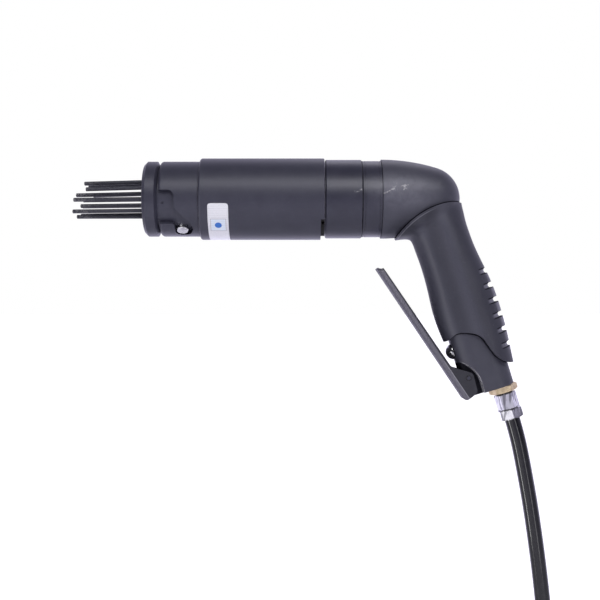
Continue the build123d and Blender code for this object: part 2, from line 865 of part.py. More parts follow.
# Piston with its oil grooves
with BuildPart() as piston:
    piston_radius = barrel_bore - running_gap
    turned(
        barrel,
        [
            (piston_front, 0),
            (piston_rear, 0),
            (piston_rear, piston_radius),
            (piston_front + piston_nose_chamfer, piston_radius),
            (piston_front, piston_radius - piston_nose_chamfer),
        ],
    )
    for index in range(piston_groove_count):
        groove = piston_rear - (index + 1) * piston_groove_pitch
        groove_floor = piston_radius - piston_groove_depth
        ring(barrel, groove, groove + piston_groove_width, piston_radius, groove_floor, Mode.SUBTRACT)

# Felt that quiets the exhaust, between the cylinder and the main sleeve
with BuildPart() as silencer_felt:
    felt_front = cup_rear + felt_gap
    felt_rear = spigot_front - felt_gap
    ring(barrel, felt_front, felt_rear, sleeve_inner - felt_gap, barrel_radius + felt_gap)

# Flap valve behind the piston: seat, flap and cover
pocket_depth = flap_length + flap_lift + 2 * running_gap
pocket = cover_front - pocket_depth
with BuildPart() as valve_seat:
    ring(barrel, cylinder_rear, cover_front, valve_radius)
    ring(barrel, pocket, cover_front, flap_radius + swing_gap, mode=Mode.SUBTRACT)
    with BuildSketch(across_barrel(cover_front)) as seat_ports:
        with PolarLocations(valve_port_ring, valve_port_count):
            Circle(valve_port_radius)
        with PolarLocations(side_port_ring, valve_port_count):
            Circle(valve_port_radius)
    extrude(seat_ports.sketch, valve_seat_length, mode=Mode.SUBTRACT)

with BuildPart() as valve_disc:
    ring(barrel, pocket + running_gap, pocket + running_gap + flap_length, flap_radius)

cover_groove = (cover_front + buffer_front) / 2
with BuildPart() as valve_cover:
    ring(barrel, cover_front, buffer_front, valve_radius, cover_port_radius)
    o_ring_groove(barrel, cover_groove, valve_radius + fit_gap)
    with BuildSketch(across_barrel(buffer_front)) as cover_ports:
        with PolarLocations(side_port_ring, valve_port_count):
            Circle(valve_port_radius)
    extrude(cover_ports.sketch, valve_cover_length, mode=Mode.SUBTRACT)

with BuildPart() as rear_o_ring:
    o_ring(barrel, cover_groove, valve_radius + fit_gap)

# Rubber ring that takes the thrust of the valve against the handle
with BuildPart() as rear_buffer:
    ring(barrel, buffer_front, coupling_front, buffer_radius, buffer_bore)

# Trigger lever: a pressed channel with ears at its foot, rounded at the tip
lever_line = Vector(*lever_heel) - Vector(*lever_tip)
lever_along = down * lever_line.X + ahead * lever_line.Y
lever = Plane(origin=down * lever_tip[0] + ahead * lever_tip[1], x_dir=lever_along, z_dir=(0, 1, 0))
lever_length = lever_line.length
lever_half = lever_width / 2
with BuildPart() as trigger_lever:
    with BuildSketch(square_to(lever, 0)) as channel:
        with Locations((-lever_length / 2, 0)):
            Rectangle(lever_length, lever_width)
        fillet(channel.vertices().group_by(Axis.X)[-1], lever_bend)
        with BuildSketch(mode=Mode.PRIVATE) as hollow:
            with Locations((-lever_sheet - lever_length / 2, 0)):
                Rectangle(lever_length, lever_width - 2 * lever_sheet)
            fillet(hollow.vertices().group_by(Axis.X)[-1], lever_bend - lever_sheet)
        add(hollow.sketch, mode=Mode.SUBTRACT)
    extrude(channel.sketch, lever_length)
    rim_tip = handle_side.to_local_coords(lever.from_local_coords(Vector(0, -lever_rim, 0)))
    side_view = [
        lever_tip,
        (*lever_heel, heel_corner),
        (*ear_rear, ear_corner),
        (*ear_shoulder, ear_corner),
        (*ear_top, ear_top_corner),
        (rim_tip.X, rim_tip.Y),
    ]
    extrude(rounded(handle_side, side_view), lever_width, both=True, mode=Mode.INTERSECT)
    plan = [
        (0, lever_half, lever_tip_corner),
        (lever_length, lever_half),
        (lever_length, -lever_half),
        (0, -lever_half, lever_tip_corner),
    ]
    plan_plane = Plane(origin=lever.origin, x_dir=lever.x_dir, z_dir=lever.y_dir)
    extrude(rounded(plan_plane, plan), lever_length, both=True, mode=Mode.INTERSECT)
    with BuildSketch(handle_side) as ear_hole:
        with Locations((pivot_down, pivot_ahead)):
            Circle(pivot_radius + running_gap)
    extrude(ear_hole.sketch, lever_width, both=True, mode=Mode.SUBTRACT)

# Pad inside the lever that meets the throttle button
button_place = lever.to_local_coords(down * throttle_down + ahead * button_peak)
with BuildPart() as lever_pad:
    with BuildSketch(lever) as pad:
        with Locations((button_place.X, (-lever_sheet - lever_rim + pad_recess) / 2)):
            Rectangle(pad_length, lever_rim - lever_sheet - pad_recess)
    extrude(pad.sketch, pad_width / 2, both=True)

# Pivot pin of the lever, pressed into the core
pivot_line = Plane(origin=down * pivot_down + ahead * pivot_ahead, x_dir=(0, 1, 0), z_dir=ahead)
lever_pin_half = lever_half + lever_pin_end
with BuildPart() as lever_pin:
    turned(
        pivot_line,
        [
            (-lever_pin_half, 0),
            (lever_pin_half, 0),
            (lever_pin_half, pivot_radius - lever_pin_chamfer),
            (lever_pin_half - lever_pin_chamfer, pivot_radius),
            (-lever_pin_half + lever_pin_chamfer, pivot_radius),
            (-lever_pin_half, pivot_radius - lever_pin_chamfer),
        ],
    )

# Throttle: button and stem, bush with its ring, seat, poppet and spring
throttle_seat_rear = throttle_seat_front - throttle_seat_length
poppet_front = throttle_seat_rear - running_gap
poppet_rear = poppet_front - poppet_length
bush_rear = bush_front - bush_length
button_rise = button_peak - button_base
button_crown = (button_radius**2 + button_rise**2) / (2 * button_rise)
crown_sweep = degrees(atan2(button_radius, button_crown - button_rise))
with BuildPart() as valve_button:
    with BuildSketch(throttle) as button_half:
        with BuildLine():
            CenterArc((button_peak - button_crown, 0), button_crown, 0, crown_sweep)
            Polyline(
                (button_peak, 0),
                (poppet_front, 0),
                (poppet_front, poppet_stem_radius),
                (throttle_seat_front, poppet_stem_radius),
                (throttle_seat_front, button_stem_radius),
                (button_base - button_rim, button_stem_radius),
                (button_base - button_rim, button_radius),
                (button_base, button_radius),
            )
        make_face()
    revolve(button_half.sketch, axis=Axis(throttle.origin, throttle.x_dir))

with BuildPart() as button_bush:
    ring(throttle, bush_rear, bush_front, throttle_bore - running_gap, button_stem_radius + running_gap)
    ring(
        throttle,
        bush_rear,
        bush_rear + 2 * (o_ring_radius + fit_gap),
        button_stem_radius + 2 * (o_ring_radius + running_gap),
        mode=Mode.SUBTRACT,
    )

with BuildPart() as button_o_ring:
    o_ring(
        throttle,
        bush_rear + o_ring_radius + fit_gap,
        button_stem_radius + 2 * (o_ring_radius + running_gap),
    )

with BuildPart() as throttle_seat:
    ring(throttle, throttle_seat_rear, throttle_seat_front, throttle_bore - running_gap, throttle_seat_bore)

with BuildPart() as throttle_poppet:
    ring(throttle, poppet_rear, poppet_front, poppet_radius)

with BuildPart() as throttle_spring:
    coil(
        throttle,
        throttle_wire_radius,
        throttle_spring_mean,
        throttle_floor + fit_gap,
        poppet_rear - fit_gap,
        throttle_spring_turns,
    )

# Air inlet: strainer, brass bush, seal, nipple and hose nut
bush_start = inlet_step + strainer_flange
bush_end = core_foot + inlet_hex_length
nipple_start = bush_end + seal_length
nipple_end = nipple_start + nipple_hex_length
hose_start = nipple_end + nut_hex_length
with BuildPart() as inlet_strainer:
    ring(inlet, inlet_step, bush_start, inlet_bore - fit_gap)
    ring(inlet, bush_start - strainer_length, inlet_step, strainer_radius)
    strainer_inner = strainer_radius - strainer_wall
    ring(inlet, bush_start - strainer_length + strainer_wall, bush_start, strainer_inner, mode=Mode.SUBTRACT)

with BuildPart() as inlet_bush:
    hexagon(inlet, inlet_hex, core_foot, bush_end, inlet_hex_turn)
    ring(inlet, bush_start, core_foot, inlet_bore - fit_gap)
    ring(inlet, bush_start, bush_end, inlet_thread_bore, mode=Mode.SUBTRACT)

with BuildPart() as inlet_seal:
    ring(inlet, bush_end, nipple_start, seal_radius, inlet_thread_bore)

with BuildPart() as hose_nipple:
    hexagon(inlet, nipple_hex, nipple_start, nipple_end, inlet_hex_turn)
    ring(inlet, nipple_start - nipple_spigot_length, nipple_start, inlet_thread_bore - fit_gap)
    ring(inlet, nipple_start - nipple_spigot_length, nipple_end, nipple_bore, mode=Mode.SUBTRACT)

with BuildPart() as hose_nut:
    hexagon(inlet, nut_hex, nipple_end, hose_start, nut_turn)
    ring(inlet, nipple_end, hose_start, hose_bore, mode=Mode.SUBTRACT)

# Short whip hose that hangs from the nut: straight runs joined by the largest arcs they allow
hose_points = [inlet.from_local_coords(Vector(hose_start, 0, 0))]
for run, lean in zip(hose_runs, hose_leans):
    hose_points.append(hose_points[-1] + Vector(run * sin(radians(lean)), 0, -run * cos(radians(lean))))
hose_radii = []
for index in range(len(hose_runs) - 1):
    shorter = min(hose_runs[index], hose_runs[index + 1])
    half_turn = (hose_leans[index] - hose_leans[index + 1]) / 2
    hose_radii.append(arc_share * shorter / tan(radians(half_turn)))
print("hose bend radii", [round(radius) for radius in hose_radii])
with BuildPart() as air_hose:
    with BuildLine() as hose_path:
        FilletPolyline(*hose_points, radius=hose_radii)
    with BuildSketch(square_to(inlet, hose_start)):
        Circle(hose_radius)
        Circle(hose_bore, mode=Mode.SUBTRACT)
    sweep(path=hose_path.wire())

# Crimped ferrule and quick plug at the free end of the hose
hose_end = Plane(origin=hose_points[-1], x_dir=hose_points[-1] - hose_points[-2], z_dir=(0, 1, 0))
crimp_pitch = ferrule_length / (2 * ferrule_crimps + 1)
with BuildPart() as hose_end_ferrule:
    ring(hose_end, -ferrule_length, 0, ferrule_radius, hose_radius + running_gap)
    for index in range(ferrule_crimps):
        crimp = -ferrule_length + (2 * index + 1) * crimp_pitch
        crimp_floor = ferrule_radius - ferrule_crimp_depth
        ring(hose_end, crimp, crimp + crimp_pitch, ferrule_radius, crimp_floor, Mode.SUBTRACT)

plug_shoulder = plug_hex_length + plug_length
plug_neck = plug_shoulder - plug_tip_length - plug_groove_length
plug_tip = plug_shoulder - plug_tip_length
with BuildPart() as hose_plug:
    hexagon(hose_end, plug_hex, 0, plug_hex_length, 0)
    ring(hose_end, plug_hex_length, plug_neck, plug_radius)
    ring(hose_end, plug_neck, plug_tip, plug_groove_radius)
    ring(hose_end, plug_tip, plug_shoulder, plug_tip_radius)
    ring(hose_end, 0, plug_shoulder, plug_bore, mode=Mode.SUBTRACT)

# Files, one for each piece
pieces = {
    **needles,
    **bayonet_pins,
    "nose_tube": nose_tube,
    "needle_guide": needle_guide,
    "needle_holder": needle_holder,
    "holder_circlip": holder_circlip,
    "lock_sleeve": lock_sleeve,
    "main_sleeve": main_sleeve,
    "casing_ring": casing_ring,
    "coupling_ring": coupling_ring,
    "anvil": anvil,
    "anvil_bush": anvil_bush,
    "anvil_spring": anvil_spring,
    "cylinder": cylinder,
    "front_o_ring": front_o_ring,
    "piston": piston,
    "silencer_felt": silencer_felt,
    "valve_seat": valve_seat,
    "valve_disc": valve_disc,
    "valve_cover": valve_cover,
    "rear_o_ring": rear_o_ring,
    "rear_buffer": rear_buffer,
    "handle_casting": handle_casting,
    "grip_sleeve": grip_sleeve,
    "trigger_lever": trigger_lever,
    "lever_pad": lever_pad,
    "lever_pin": lever_pin,
    "valve_button": valve_button,
    "button_bush": button_bush,
    "button_o_ring": button_o_ring,
    "throttle_seat": throttle_seat,
    "throttle_poppet": throttle_poppet,
    "throttle_spring": throttle_spring,
    "inlet_strainer": inlet_strainer,
    "inlet_bush": inlet_bush,
    "inlet_seal": inlet_seal,
    "hose_nipple": hose_nipple,
    "hose_nut": hose_nut,
    "air_hose": air_hose,
    "hose_end_ferrule": hose_end_ferrule,
    "hose_plug": hose_plug,
}
os.makedirs("parts", exist_ok=True)
for name, piece in pieces.items():
    piece.part.label = name
    export_step(piece.part, f"parts/{name}.step")
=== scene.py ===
import json
from functools import partial, reduce
from math import cos, pi, radians, sin

import bpy
from mathutils import Matrix, Vector
from mathutils.geometry import interpolate_bezier


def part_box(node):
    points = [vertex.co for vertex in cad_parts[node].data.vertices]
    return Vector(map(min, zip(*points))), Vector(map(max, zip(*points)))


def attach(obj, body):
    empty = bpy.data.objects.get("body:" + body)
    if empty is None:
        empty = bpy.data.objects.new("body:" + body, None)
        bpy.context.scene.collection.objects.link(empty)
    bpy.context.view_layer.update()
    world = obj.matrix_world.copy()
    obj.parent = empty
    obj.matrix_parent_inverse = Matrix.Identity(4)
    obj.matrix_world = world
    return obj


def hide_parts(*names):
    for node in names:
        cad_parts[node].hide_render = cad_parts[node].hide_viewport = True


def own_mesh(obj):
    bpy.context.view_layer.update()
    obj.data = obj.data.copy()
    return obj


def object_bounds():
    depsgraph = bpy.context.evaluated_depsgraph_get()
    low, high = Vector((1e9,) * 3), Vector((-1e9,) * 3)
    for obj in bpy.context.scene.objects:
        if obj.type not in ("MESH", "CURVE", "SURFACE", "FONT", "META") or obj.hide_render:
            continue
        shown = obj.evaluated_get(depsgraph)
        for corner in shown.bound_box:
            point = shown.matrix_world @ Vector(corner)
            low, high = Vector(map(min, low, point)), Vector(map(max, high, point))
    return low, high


# The needle scaler as photographed. Metres and degrees, in the frame of the CAD model: X runs back along
# the barrel, Y away from the camera and Z up. Down and ahead are measured on the tilted handle. A pair of
# plain numbers says where a fade starts and where it ends.

# Camera, level with the middle of the photograph
CAMERA_PLACE = Vector((-0.120, -0.7875, -0.0075))
CAMERA_LENS = 63.0
CAMERA_SENSOR = 36.0

# Air hose, by the runs between its bends and how far each run leans from plumb
HANDLE_TILT = 17.0
HOSE_START_DOWN = 0.103
HOSE_START_BEHIND = 0.0092
HOSE_RUNS = [0.012, 0.022, 0.040, 0.056, 0.058, 0.058, 0.054]
HOSE_LEANS = [HANDLE_TILT, 12.0, 10.0, 7.5, 5.0, 2.5, 0.4]
HOSE_RADIUS = 0.0058
HOSE_SIDES = 10
HOSE_ORDER = 3
HOSE_STEPS = 24

# Paper label round the main sleeve, with a frame and a disc on it
LABEL_WIDTH = 0.0151
LABEL_INSET = 0.0069
LABEL_TOP = 10.6
LABEL_LENGTH = 0.0480
LABEL_CORNER = 0.0022
LABEL_THICKNESS = 0.00008
LABEL_WELD = 0.000001
LABEL_ROWS = 140
LABEL_COLUMNS = 17
LABEL_MARK_ANGLE = 43.8
LABEL_MARK_RADIUS = 0.0026
LABEL_MARK_EDGE = (0.93 * LABEL_MARK_RADIUS, 1.03 * LABEL_MARK_RADIUS)
LABEL_FRAME_HALF = 0.0056
LABEL_FRAME_LINE = (0.000132, 0.00022)
LABEL_TINT_EDGE = (0.88 * LABEL_FRAME_HALF, 0.96 * LABEL_FRAME_HALF)

# Springs, each with the joint that shortens it, its turns and the radius of its wire
SPRINGS = {"anvil_spring": ("anvil_blow", 3, 0.00075), "throttle_spring": ("button_press", 4, 0.00045)}
SPRING_STEPS = 32
SPRING_SIDES = 12

# Slots of the pieces that are made here
MADE_SLOTS = ("hose_rubber", "spring_steel")

# Painted highlight on the head, and marks of handling on the head and the casing ring. Strokes go by X and Z,
# sways by spot size and width.
HEAD_HIGHLIGHT_MIDDLE = (-0.0450, -0.0290, 0.0730)
HEAD_HIGHLIGHT_REACH = (0.0360, 0.0300, 0.0200)
HEAD_SCUFF_MIDDLE = (-0.0500, -0.0290, 0.0732)
HEAD_SCUFF_REACH = (0.0150, 0.0200, 0.0090)
HEAD_STROKES = [
    [(-0.0598, 0.0698), (-0.0560, 0.0712), (-0.0519, 0.0737)],
    [(-0.0523, 0.0726), (-0.0513, 0.0748)],
    [(-0.0469, 0.0752), (-0.0418, 0.0760)],
    [(-0.0452, 0.0726), (-0.0424, 0.0754)],
    [(-0.0446, 0.0745), (-0.0432, 0.0730)],
]
RING_STROKES = [[(-0.0800, 0.0704), (-0.0774, 0.0712), (-0.0752, 0.0724)]]
STROKE_EDGE = (0.00018, 0.0009)
STROKE_SWAYS = [(0.0030, 0.0022), (0.0010, 0.0016)]
STROKE_SIDE = (-0.010, 0.0)
PATCH_CORE = 0.15
SCRATCH_EDGE = 0.03

# Rings of the barrel
POLISHED_RINGS = ("casing_ring", "coupling_ring")
EXHAUST_SOOT = (-0.1022, -0.1018)
WORN_END = 0.0007
RING_SEAM = (0.0002, 0.0008)

# Painted highlight along the lip of the casting, and painted shade in the recess ahead of it. The lip curves
# forward as it climbs from its foot
LIP_FOOT_DOWN = 0.0682
LIP_FOOT_AHEAD = 0.0067
LIP_CURVE = 32.1
LIP_HIGHLIGHT = (0.00015, 0.00060)
LIP_TOP = (0.0500, 0.0520)
LIP_RECESS_SHADE = (0.0004, 0.0012)

# Lever, by its tip, with painted shade on the ears round its pin and a painted highlight along the bend
LEVER_TIP_DOWN = -0.0335
LEVER_TIP_AHEAD = 0.0559
LEVER_LEAN = 16.9
LEVER_RIM = 0.0045
LEVER_EDGE = (0.0002, 0.0012)
LEVER_BRUSHING = (0, -(HANDLE_TILT + LEVER_LEAN), 0)
EAR_SHADE_EDGE = (0.78 * LEVER_RIM, 0.86 * LEVER_RIM)
EAR_START = (0.082, 0.088)
EAR_CREASE = 0.74 * LEVER_RIM
EAR_CREASE_LINE = (0.0001, 0.0004)
PIN_DOWN = 0.0638
PIN_AHEAD = 0.0144
PIN_RADIUS = 0.0015
PIN_GRIME = (1.1 * PIN_RADIUS, 1.6 * PIN_RADIUS)

# Round seam between head and grip, by X and Z, with the grip's flange inside it, a painted highlight line
# along the flange, and painted shade in the throat outside
SEAM_MIDDLE = (-0.0001, 0.0063)
SEAM_RADIUS = 0.0586
SEAM_FOOT = (0.020, 0.030)
SEAM_GRIME = (0.0005, 0.0012)
FLANGE_EDGE = 0.0017
FLANGE_HIGHLIGHT_LINE = (0.0001, 0.0005)
FLANGE_HIGHLIGHT_END = (-0.030, -0.018)
FLANGE_SHADE = (0.0020, 0.0095)
FLANGE_SHADE_END = (-0.034, -0.012)
THROAT_SHADE_REACH = 0.013
THROAT_SHADE_TOP = (0.046, 0.068)

# Lower edge of the grip, by down and ahead
SKIRT_EDGE = [
    (0.0326, 0.0194),
    (0.0300, 0.0148),
    (0.0308, 0.0076),
    (0.0362, -0.0018),
    (0.0452, -0.0056),
    (0.0536, -0.0090),
    (0.0602, -0.0156),
]
SKIRT_STEPS = 4

# Grip: the painted highlight bands, by middle and half width, the notches in its back with painted shade in
# their creases and painted highlights beside them, and its pebbling
GRIP_HIGHLIGHT_BANDS = [(0.0165, 0.0062), (-0.0007, 0.0080)]
GRIP_HIGHLIGHT_END = (0.030, 0.046)
NOTCH_FIRST = -0.0088
NOTCH_PITCH = 0.01136
NOTCH_START = (-0.0125, -0.0115)
NOTCH_END = (0.0520, 0.0540)
NOTCH_HALF = 0.0019
NOTCH_SCOOP = (0.5 * NOTCH_HALF, NOTCH_HALF)
NOTCH_CREASE_SHADE = (0.0002, 0.0007)
NOTCH_REACH = (-0.0143, -0.0168)
RIB_FACE = (-0.0195, -0.0225)
PEBBLES_PER_METRE = 1900.0
PEBBLE_UNEVENNESS = 0.9

# Beaten ends of the needles, and edges of the hose fittings with a painted dark reflection along them
NEEDLE_WEAR = (-0.266, -0.289)
FITTING_EDGES = [0.0835, 0.0955, 0.1030]
FITTING_EDGE_REFLECTION = (0.0002, 0.0011)

# Colours of the black pieces. A pair of colours is the two ends of a blend.
BLACKING = ((0.032, 0.032, 0.050), (0.049, 0.049, 0.071))
POLISHED_BLACKING = ((0.022, 0.022, 0.038), (0.034, 0.034, 0.055))
SPECK_GREY = (0.100, 0.098, 0.112)
RUBBED_GREY = (0.190, 0.188, 0.205)
SCRATCH_GREY = (0.170, 0.168, 0.185)
HEAD_HIGHLIGHT_GREY = (0.128, 0.127, 0.160)
RING_SCUFF_GREY = (0.420, 0.415, 0.430)
SOOT_BLACK = (0.004, 0.004, 0.004)
CASTING_BLACK = ((0.042, 0.042, 0.060), (0.062, 0.062, 0.083))
GRAIN_GREY = (0.110, 0.108, 0.122)
HEAD_SCUFF_GREY = (0.430, 0.425, 0.440)
LIP_HIGHLIGHT_GREY = (0.380, 0.375, 0.390)
MOULDING_BLACK = ((0.028, 0.028, 0.042), (0.039, 0.039, 0.056))
RIB_HIGHLIGHT_GREY = (0.160, 0.157, 0.198)
GRIP_HIGHLIGHT_GREY = (0.074, 0.074, 0.100)
DUST_GREY = (0.105, 0.103, 0.118)
FLANGE_SHADE_BLACK = (0.014, 0.014, 0.021)
FLANGE_HIGHLIGHT_GREY = (0.175, 0.173, 0.205)
PEBBLE_BLACK = (0.024, 0.024, 0.032)
LEVER_GREY = ((0.098, 0.093, 0.118), (0.122, 0.117, 0.146))
BRUSHED_GREY = (0.170, 0.164, 0.195)
CHIP_GREY = (0.240, 0.235, 0.255)
EAR_SHADE_BLACK = ((0.025, 0.025, 0.033), (0.038, 0.038, 0.049))
EAR_CREASE_HIGHLIGHT_GREY = (0.330, 0.325, 0.350)
PIN_GRIME_BLACK = (0.008, 0.008, 0.009)
NEEDLE_BLACK = ((0.030, 0.030, 0.039), (0.062, 0.062, 0.076))
NEEDLE_TIP_GREY = (0.260, 0.257, 0.262)
RUST_BROWN = (0.075, 0.052, 0.038)
DEAD_BLACK = (0.004, 0.004, 0.006, 1.0)

# Colours of the bright metal
SPRING_STEEL = ((0.34, 0.34, 0.35), (0.20, 0.20, 0.21))
STRIKING_STEEL = ((0.46, 0.46, 0.47), (0.30, 0.29, 0.29))
PIN_STEEL = ((0.72, 0.72, 0.73), (0.46, 0.46, 0.48))
BUSH_BRASS = ((0.72, 0.53, 0.26), (0.50, 0.35, 0.17))
INLET_BRASS = ((0.80, 0.66, 0.44), (0.62, 0.49, 0.31))
PLATING = ((0.84, 0.84, 0.85), (0.60, 0.60, 0.62))
REFLECTION_STREAK_GREY = (0.16, 0.16, 0.18)
EDGE_REFLECTION_BLACK = (0.045, 0.044, 0.048)

# Colours of rubber, felt, gloss plastic and paper
HOSE_BLACK = ((0.0060, 0.0060, 0.0085), (0.014, 0.014, 0.018))
SEAL_BLACK = ((0.014, 0.014, 0.015), (0.034, 0.033, 0.033))
FELT_GREY = ((0.26, 0.25, 0.23), (0.40, 0.39, 0.36))
FIBRE_GREY = (0.52, 0.51, 0.48)
BUTTON_BLACK = ((0.0075, 0.0075, 0.009), (0.016, 0.016, 0.018))
PAPER_WHITE = ((0.70, 0.70, 0.74), (0.77, 0.77, 0.81))
LABEL_TINT = (0.66, 0.80, 0.94)
LABEL_FRAME_GREY = (0.30, 0.30, 0.34)
LABEL_MARK_BLUE = (0.030, 0.160, 0.560)

# Studio
FLOOR_DROP = 0.035
FLOOR_REACH = 30.0
FLOOR_WHITE = ((0.86, 0.86, 0.86), (0.90, 0.90, 0.90))
FLOOR_GLOW_REACH = (0.25, 0.75)
FLOOR_GLOW_NEAR = (0.10, 0.10, 0.10)
FLOOR_GLOW_FAR = (0.95, 0.95, 0.95)
FLOOR_GLOW_MIRRORED = (1.18, 1.12, 1.50)
FLOOR_FRONT_SHARE = 0.12
FLOOR_SIDE = (0.55, 0.90)
FLOOR_LEFT_CUT = 0.80
FLOOR_RIGHT_CUT = 0.40
WORLD_WHITE = (1.0, 1.0, 1.0)
WORLD_TINT = (0.84, 0.80, 1.05)
WORLD_FRONT = 0.06
WORLD_BACK = 1.15
WORLD_BACK_FADE = (0.05, 0.75)
WORLD_RIGHT = 0.35
WORLD_RIGHT_FADE = (0.75, 0.97)

# Softboxes, each with its place, the spot that it faces, its width, its height and its power in watts
SOFTBOXES = {
    "front_softbox": ((0.05, -1.10, 1.10), (-0.120, 0.0, 0.050), 2.2, 0.50, 17.0),
    "head_softbox": ((0.17, -1.10, 0.72), (-0.04, 0.0, 0.07), 0.40, 0.30, 2.0),
    "left_softbox": ((-0.97, -0.86, -0.27), (0.0, 0.0, -0.05), 0.50, 0.32, 1.8),
    "rim_softbox": ((0.10, 0.60, 0.85), (-0.05, 0.0, 0.07), 0.40, 0.30, 0.5),
    "hose_strip": ((-0.557, -0.244, -0.391), (0.045, 0.0, -0.13), 0.10, 0.10, 0.3),
    "right_strip": ((0.55, -1.10, -0.25), (0.0, 0.0, -0.05), 0.16, 0.7, 1.2),
}

# Sockets of a mix node that are for colours
MIX_FACTOR, MIX_FIRST, MIX_SECOND, MIX_RESULT = 0, 6, 7, 2


class Wire:
    """One socket of a node tree, so that sums of sockets read as plain expressions."""

    def __init__(self, graph, socket):
        self.graph = graph
        self.socket = socket

    def out(self, name):
        """Another output of the same node."""
        return Wire(self.graph, self.socket.node.outputs[name])

    def __add__(self, other):
        return self.graph.maths("ADD", self, other)

    def __sub__(self, other):
        return self.graph.maths("SUBTRACT", self, other)

    def __rsub__(self, other):
        return self.graph.maths("SUBTRACT", other, self)

    def __mul__(self, other):
        return self.graph.maths("MULTIPLY", self, other)

    def __truediv__(self, other):
        return self.graph.maths("DIVIDE", self, other)

    def __pow__(self, other):
        return self.graph.maths("POWER", self, other)

    def __neg__(self):
        return 0 - self

    def __abs__(self):
        return self.graph.maths("ABSOLUTE", self)

    __radd__ = __add__
    __rmul__ = __mul__


class Graph:
    """A node tree that is built up by calls."""

    def __init__(self, tree):
        self.tree = tree

    def node(self, kind, settings=None, values=None, output=0):
        """A node of a kind, with its settings, then the values or wires of its sockets."""
        made = self.tree.nodes.new(kind)
        for name, value in (settings or {}).items():
            setattr(made, name, value)
        for name, value in (values or {}).items():
            if isinstance(value, Wire):
                self.tree.links.new(value.socket, made.inputs[name])
            else:
                made.inputs[name].default_value = value
        return Wire(self, made.outputs[output])

    def maths(self, operation, first, second=0.0):
        """The result of an operation on one value or two."""
        return self.node("ShaderNodeMath", {"operation": operation}, {0: first, 1: second})

    def smallest(self, *values):
        """The smallest of the values."""
        return reduce(partial(self.maths, "MINIMUM"), values)

    def largest(self, *values):
        """The largest of the values."""
        return reduce(partial(self.maths, "MAXIMUM"), values)

    def span(self, *measures):
        """The straight distance that measures square to each other make."""
        squares = [measure * measure for measure in measures]
        return sum(squares[1:], squares[0]) ** 0.5

    def fade(self, value, start, end):
        """A smooth climb from 0 at start to 1 at end."""
        settings = {"interpolation_type": "SMOOTHSTEP"}
        return self.node("ShaderNodeMapRange", settings, {"Value": value, "From Min": start, "From Max": end})

    def fall(self, value, start, end):
        """A smooth drop from 1 at start to 0 at end."""
        return 1 - self.fade(value, start, end)

    def blend(self, factor, *colours):
        """A colour between two others."""
        first, second = (colour if isinstance(colour, Wire) else (*colour, 1.0) for colour in colours)
        values = {MIX_FACTOR: factor, MIX_FIRST: first, MIX_SECOND: second}
        return self.node("ShaderNodeMix", {"data_type": "RGBA"}, values, MIX_RESULT)


